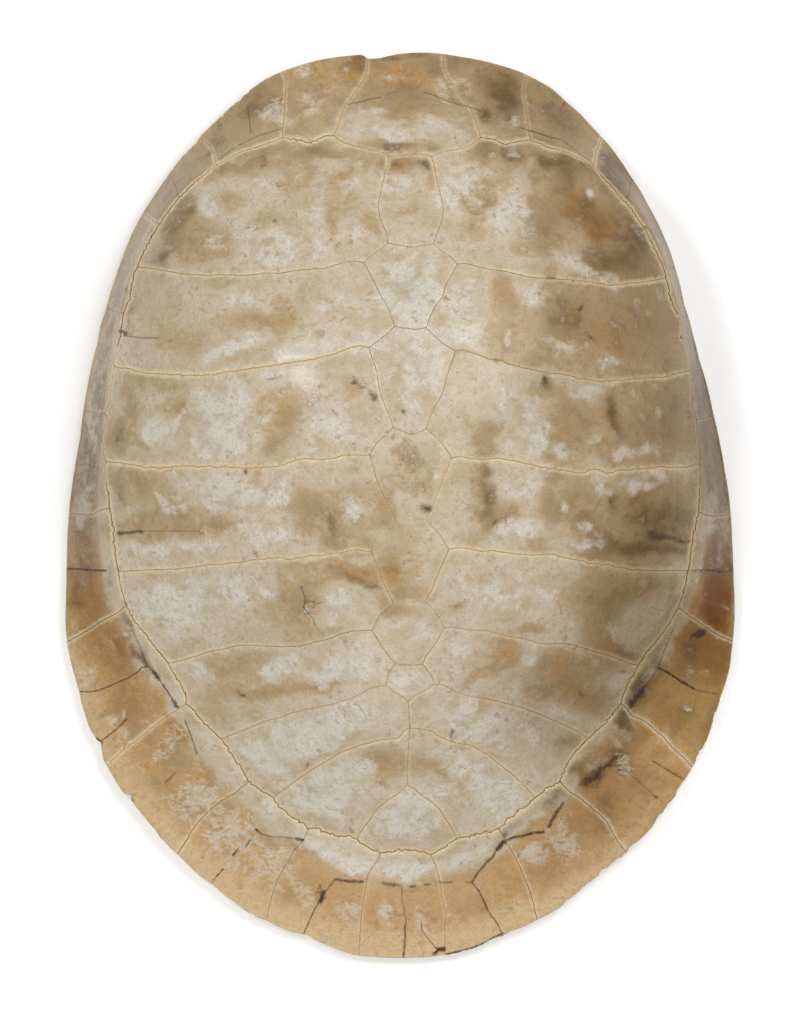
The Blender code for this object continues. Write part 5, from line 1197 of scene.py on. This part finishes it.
CLOUD, SMEAR, PATCH, LACE, ALONG, ASLANT, FLECK, SPECK, GRAIN, FEATHER = (
    add("TexNoise", {"Vector": strokes[name], "Scale": 1.0, "Detail": detail, "Roughness": coarse,
                     "Distortion": twist}).outputs["Fac"]
    for name, detail, coarse, twist in (
        ("cloud", 2, 0.50, 0.6), ("smear", 5, 0.56, 0.5), ("patch", 6, 0.60, 0.35), ("lace", 3, 0.55, 1.2),
        ("along", 4, 0.62, 1.6), ("aslant", 4, 0.62, 1.6), ("fleck", 3, 0.55, 0.6), ("speck", 2, 0.50, 0.5),
        ("grain", 2, 0.50, 0.0), ("feather", 3, 0.60, 0.0)))
PORES, CRAZING = (
    add("TexVoronoi", {"Vector": strokes[name], "Scale": 1.0}, feature=feature).outputs["Distance"]
    for name, feature in (("pores", "F1"), ("crazing", "DISTANCE_TO_EDGE")))

# The white lace runs along the contours of a noise
off_contour = add("Math", {0: LACE, 1: 0.5}, operation="SUBTRACT").outputs[0]
off_contour = add("Math", {0: off_contour}, operation="ABSOLUTE").outputs[0]

# How near a place is to each of these, from 0 at the first distance to 1 at the second
near = {name: add("MapRange", {"Value": distance, "From Min": reach, "From Max": full}).outputs[0]
        for name, distance, reach, full in (
            ("shaded seam", of["seam_mm"], 14.0, 3.0),
            ("pale seam", of["seam_mm"], 4.6, 0.4),
            ("rusty seam", of["seam_mm"], 1.1, 0.1),
            ("seam line", of["line_mm"], 0.62, 0.05),
            ("furrow", of["furrow_mm"], 1.5, 0.0),
            ("pore", PORES, 0.17, 0.06),
            ("inner pore", PORES, 0.24, 0.08),
            ("crazing", CRAZING, 0.17, 0.02),
            ("freckle", FLECK, 0.42, 0.30),
            ("lace", off_contour, 0.075, 0.02))}


def patches(value, low, high, *noises):
    """From 0 where the value is below low to 1 where it is over high, its edge broken up by the noises."""
    for noise_of, amount in noises:
        value = add("Math", {0: noise_of, 1: amount, 2: value}, operation="MULTIPLY_ADD").outputs[0]
        value = add("Math", {0: value, 1: amount / 2}, operation="SUBTRACT").outputs[0]
    return add("MapRange", {"Value": value, "From Min": low, "From Max": high},
               interpolation_type="SMOOTHSTEP").outputs[0]


def stained(under, tone, strengths, *patch):
    """The under colour with a tone over it in patches, as strong as all the strengths multiplied."""
    amount = patches(*patch)
    for strength in strengths:
        amount = add("Math", {0: amount, 1: strength}, operation="MULTIPLY").outputs[0]
    return add("Mix", {0: amount, 6: under, 7: tone}, data_type="RGBA").outputs[2]


# The tones, each mottled by itself: the plain bone, the stains, and the inside with its large pores
BRUSH = stained(ALONG, ASLANT, (), CLOUD, 0.42, 0.58)
colour = stained("#c3af8e", "#dcd2bf", (), PATCH, 0.1, 0.9, (SMEAR, 1.0))
tanned = stained("#a48b63", "#d0b995", (), PATCH, 0.2, 0.8, (SMEAR, 0.6))
cool = stained("#c2bcaa", "#dddacd", (), SMEAR, 0.25, 0.75, (PATCH, 1.6))
warm = stained("#cdc0ac", "#e8e1d4", (), PATCH, 0.3, 0.7)
clean = stained(cool, warm, (), CLOUD, 0.18, 0.68, (PATCH, 0.6))
golden = stained("#9b723c", "#cca56c", (), SMEAR, 0.15, 0.85, (CLOUD, 0.8), (PATCH, 0.8))
# The side walls' grey, partly painted shade and reflection
wall_grey_and_shade = stained("#8c795a", "#c3b499", (), ALONG, 0.3, 0.7, (PATCH, 1.4))
inside = stained("#b59e76", "#cdbf9f", (), CLOUD, 0.2, 0.8, (SMEAR, 1.4), (PATCH, 1.2))
inside = stained(inside, "#a58457", (), SMEAR, 0.50, 0.90, (PATCH, 1.2))
inner_pores = add("Math", {0: near["inner pore"], 1: 0.5}, operation="MULTIPLY").outputs[0]
inside = add("Mix", {0: inner_pores, 6: inside, 7: "#7d6440"}, data_type="RGBA").outputs[2]

# The layers from the lowest up, each as its tone, its strengths and then where its patches are
tan_of = add("Math", {0: of["tan"], 1: of["border"]}, operation="MAXIMUM").outputs[0]
dark_seams = patches(of["seam_dark"], 0.96, 1.04)
shade_of, halo_of = (
    add("Math", {0: near[name], 1: look}, operation="MULTIPLY").outputs[0]
    for name, look in (("shaded seam", dark_seams), ("pale seam", of["seam_halo"])))
lace_of = patches(of["worn"], 0.20, 0.70, (PATCH, 2.4))
for tone, strengths, *patch in (
        # stains and clean bone
        (tanned, (), tan_of, 0.15, 0.70, (SMEAR, 0.8), (PATCH, 2.2), (FLECK, 0.4)),
        (golden, (), of["gold"], 0.15, 0.90, (SMEAR, 1.4), (PATCH, 1.4)),
        ("#cda574", (0.7,), of["peach"], 0.20, 1.00, (SMEAR, 1.2), (PATCH, 1.0)),
        ("#8a5408", (), of["gold"], 1.30, 2.40, (SMEAR, 0.8)),
        # grey side walls, partly painted shade and reflection
        (wall_grey_and_shade, (), of["grey_and_shade"], 0.10, 0.90, (SMEAR, 1.0), (PATCH, 1.2)),
        ("#75592f", (), of["olive"], 0.05, 1.15, (SMEAR, 1.2), (PATCH, 1.8), (FLECK, 0.3)),
        # pale patches, with a painted highlight on the left of the dome among them
        (clean, (0.85,), of["pale_and_highlight"], 0.15, 0.85, (SMEAR, 0.6), (PATCH, 2.2), (FLECK, 0.4)),
        ("#dad5ca", (0.35,), of["pale_and_highlight"], 0.50, 0.90, (PATCH, 2.0), (SMEAR, 0.8), (FLECK, 0.6)),
        ("#dcc196", (0.8,), of["edge"], 0.1, 1.0, (PATCH, 1.2)),
        # lace and worn skin
        ("#d6c9b2", (lace_of, 0.7), near["lace"], 0.1, 0.9, (FLECK, 0.8)),
        ("#d3c6af", (0.55,), of["worn"], 0.65, 1.05, (PATCH, 3.2), (FLECK, 1.0)),
        # shade beside the dark seams, pores and crazing
        ("#86693f", (0.4,), shade_of, 0.10, 1.10, (FEATHER, 4.0), (PATCH, 1.5)),
        ("#74583a", (near["pore"],), PATCH, 0.56, 0.66),
        ("#6f593c", (near["crazing"], 0.4), of["crazed"], 0.3, 1.0, (FLECK, 3.0), (PATCH, 2.0)),
        # pale bone beside the seams, freckles and dark spots
        ("#e6d3ae", (), halo_of, 0.10, 1.00, (FEATHER, 0.8), (FLECK, 0.4)),
        ("#a07f55", (near["freckle"], 0.5), SMEAR, 0.40, 0.60),
        ("#60452b", (), of["dark"], 0.15, 1.05, (FLECK, 1.2), (PATCH, 0.5)),
        # the inside, and over it the seams' rust, their lines and the furrows,
        # with the painted shade in the rim's nicks and along its edge among the furrows
        (inside, (), of["under"], 0.2, 0.8),
        ("#b07f48", (of["seam_rust"],), near["rusty seam"], 0.2, 1.0, (FLECK, 0.9), (FEATHER, 0.6)),
        ("#54432f", (of["seam_dark"],), near["seam line"], 0.2, 1.0, (FLECK, 0.8)),
        ("#463120", (of["furrow_and_rim_shade_dark"],), near["furrow"], 0.25, 0.95, (FLECK, 1.0), (SPECK, 0.6))):
    colour = stained(colour, tone, strengths, *patch)

# Painted shade darkens it in places and fine grain all of it. The surface is uneven in flecks and strokes,
# and its gloss in patches.
grained = stained("#f0ede8", "#ffffff", (), GRAIN, 0.3, 0.7, (BRUSH, 0.8), (FLECK, 0.8))
for amount, tone in ((of["painted_shade"], "#aa9878"), (1.0, grained)):
    colour = add("Mix", {0: amount, 6: colour, 7: tone}, data_type="RGBA", blend_type="MULTIPLY").outputs[2]
strokes_height = add("Math", {0: BRUSH, 1: 0.5}, operation="MULTIPLY").outputs[0]
height = add("Math", {0: FLECK, 1: 0.5, 2: strokes_height}, operation="MULTIPLY_ADD").outputs[0]
bump = add("Bump", {"Height": height, "Strength": 0.3, "Distance": 0.2 * MM}).outputs[0]
gloss = add("MapRange", {"Value": PATCH, "From Min": 0.3, "From Max": 0.7, "To Min": 0.42,
                         "To Max": 0.55}).outputs[0]
skin = add("BsdfPrincipled", {
    "Base Color": colour, "Roughness": gloss, "Normal": bump, "IOR": 1.5, "Specular IOR Level": 0.2,
    "Coat Weight": 0.32, "Coat Roughness": 0.20})
add("OutputMaterial", {"Surface": skin.outputs[0]})
mesh.materials.append(polished_bone)

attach(carapace_bone, "root")
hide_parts("carapace")


# The studio: a light table of opal acrylic, lit from below so that it looks evenly white, and soft lights on
# the left, past the head end and low at the rear
bpy.ops.mesh.primitive_plane_add(size=60)
floor = bpy.context.object
floor.name = "table"
white = bpy.data.materials.new("white_acrylic")
white.use_nodes = True
paper = white.node_tree.nodes["Principled BSDF"].inputs
paper["Base Color"].default_value = linear("#f4f4f4")
paper["Roughness"].default_value = 0.9
paper["Emission Color"].default_value = (1, 1, 1, 1)
paper["Emission Strength"].default_value = 0.235
floor.data.materials.append(white)

world = bpy.context.scene.world or bpy.data.worlds.new("studio")
bpy.context.scene.world = world
world.use_nodes = True
world.node_tree.nodes["Background"].inputs["Color"].default_value = (1, 1, 1, 1)
world.node_tree.nodes["Background"].inputs["Strength"].default_value = 0.34

# The middle of the photograph, at the height of the dome's sides
AIM = Vector((-1.16 * MM, -5.03 * MM, 0.08))
for name, spot, size, power in (("softbox_left", (-1.00, 0.69, 1.74), 0.32, 8.0),
                                ("softbox_head", (0.88, 1.03, 1.81), 1.1, 22.5),
                                ("softbox_rear", (-0.5, -1.85, 1.3), 1.2, 16.0)):
    lamp = bpy.data.lights.new(name, "AREA")
    lamp.shape, lamp.size, lamp.energy = "SQUARE", size, power
    light = bpy.data.objects.new(name, lamp)
    light.location = spot
    light.rotation_euler = (Vector(spot) - AIM).to_track_quat("Z", "Y").to_euler()
    light.visible_camera = False
    bpy.context.scene.collection.objects.link(light)

# The camera looks straight down through a long lens, so that the plan is seen nearly without perspective
CAMERA_DISTANCE = 15.0
PHOTO_ROWS = 1024
FRAME_HEIGHT = PHOTO_ROWS * METRES_PER_PIXEL
SENSOR = 36.0
lens = bpy.data.cameras.new("above")
lens.sensor_fit = "VERTICAL"
lens.sensor_height = SENSOR
lens.sensor_width = SENSOR
lens.lens = SENSOR * CAMERA_DISTANCE / FRAME_HEIGHT
lens.clip_end = 60.0
camera = bpy.data.objects.new("above", lens)
camera.location = (AIM.x, AIM.y, CAMERA_DISTANCE)
bpy.context.scene.collection.objects.link(camera)
bpy.context.scene.camera = camera
bpy.context.scene.view_settings.view_transform = "Standard"
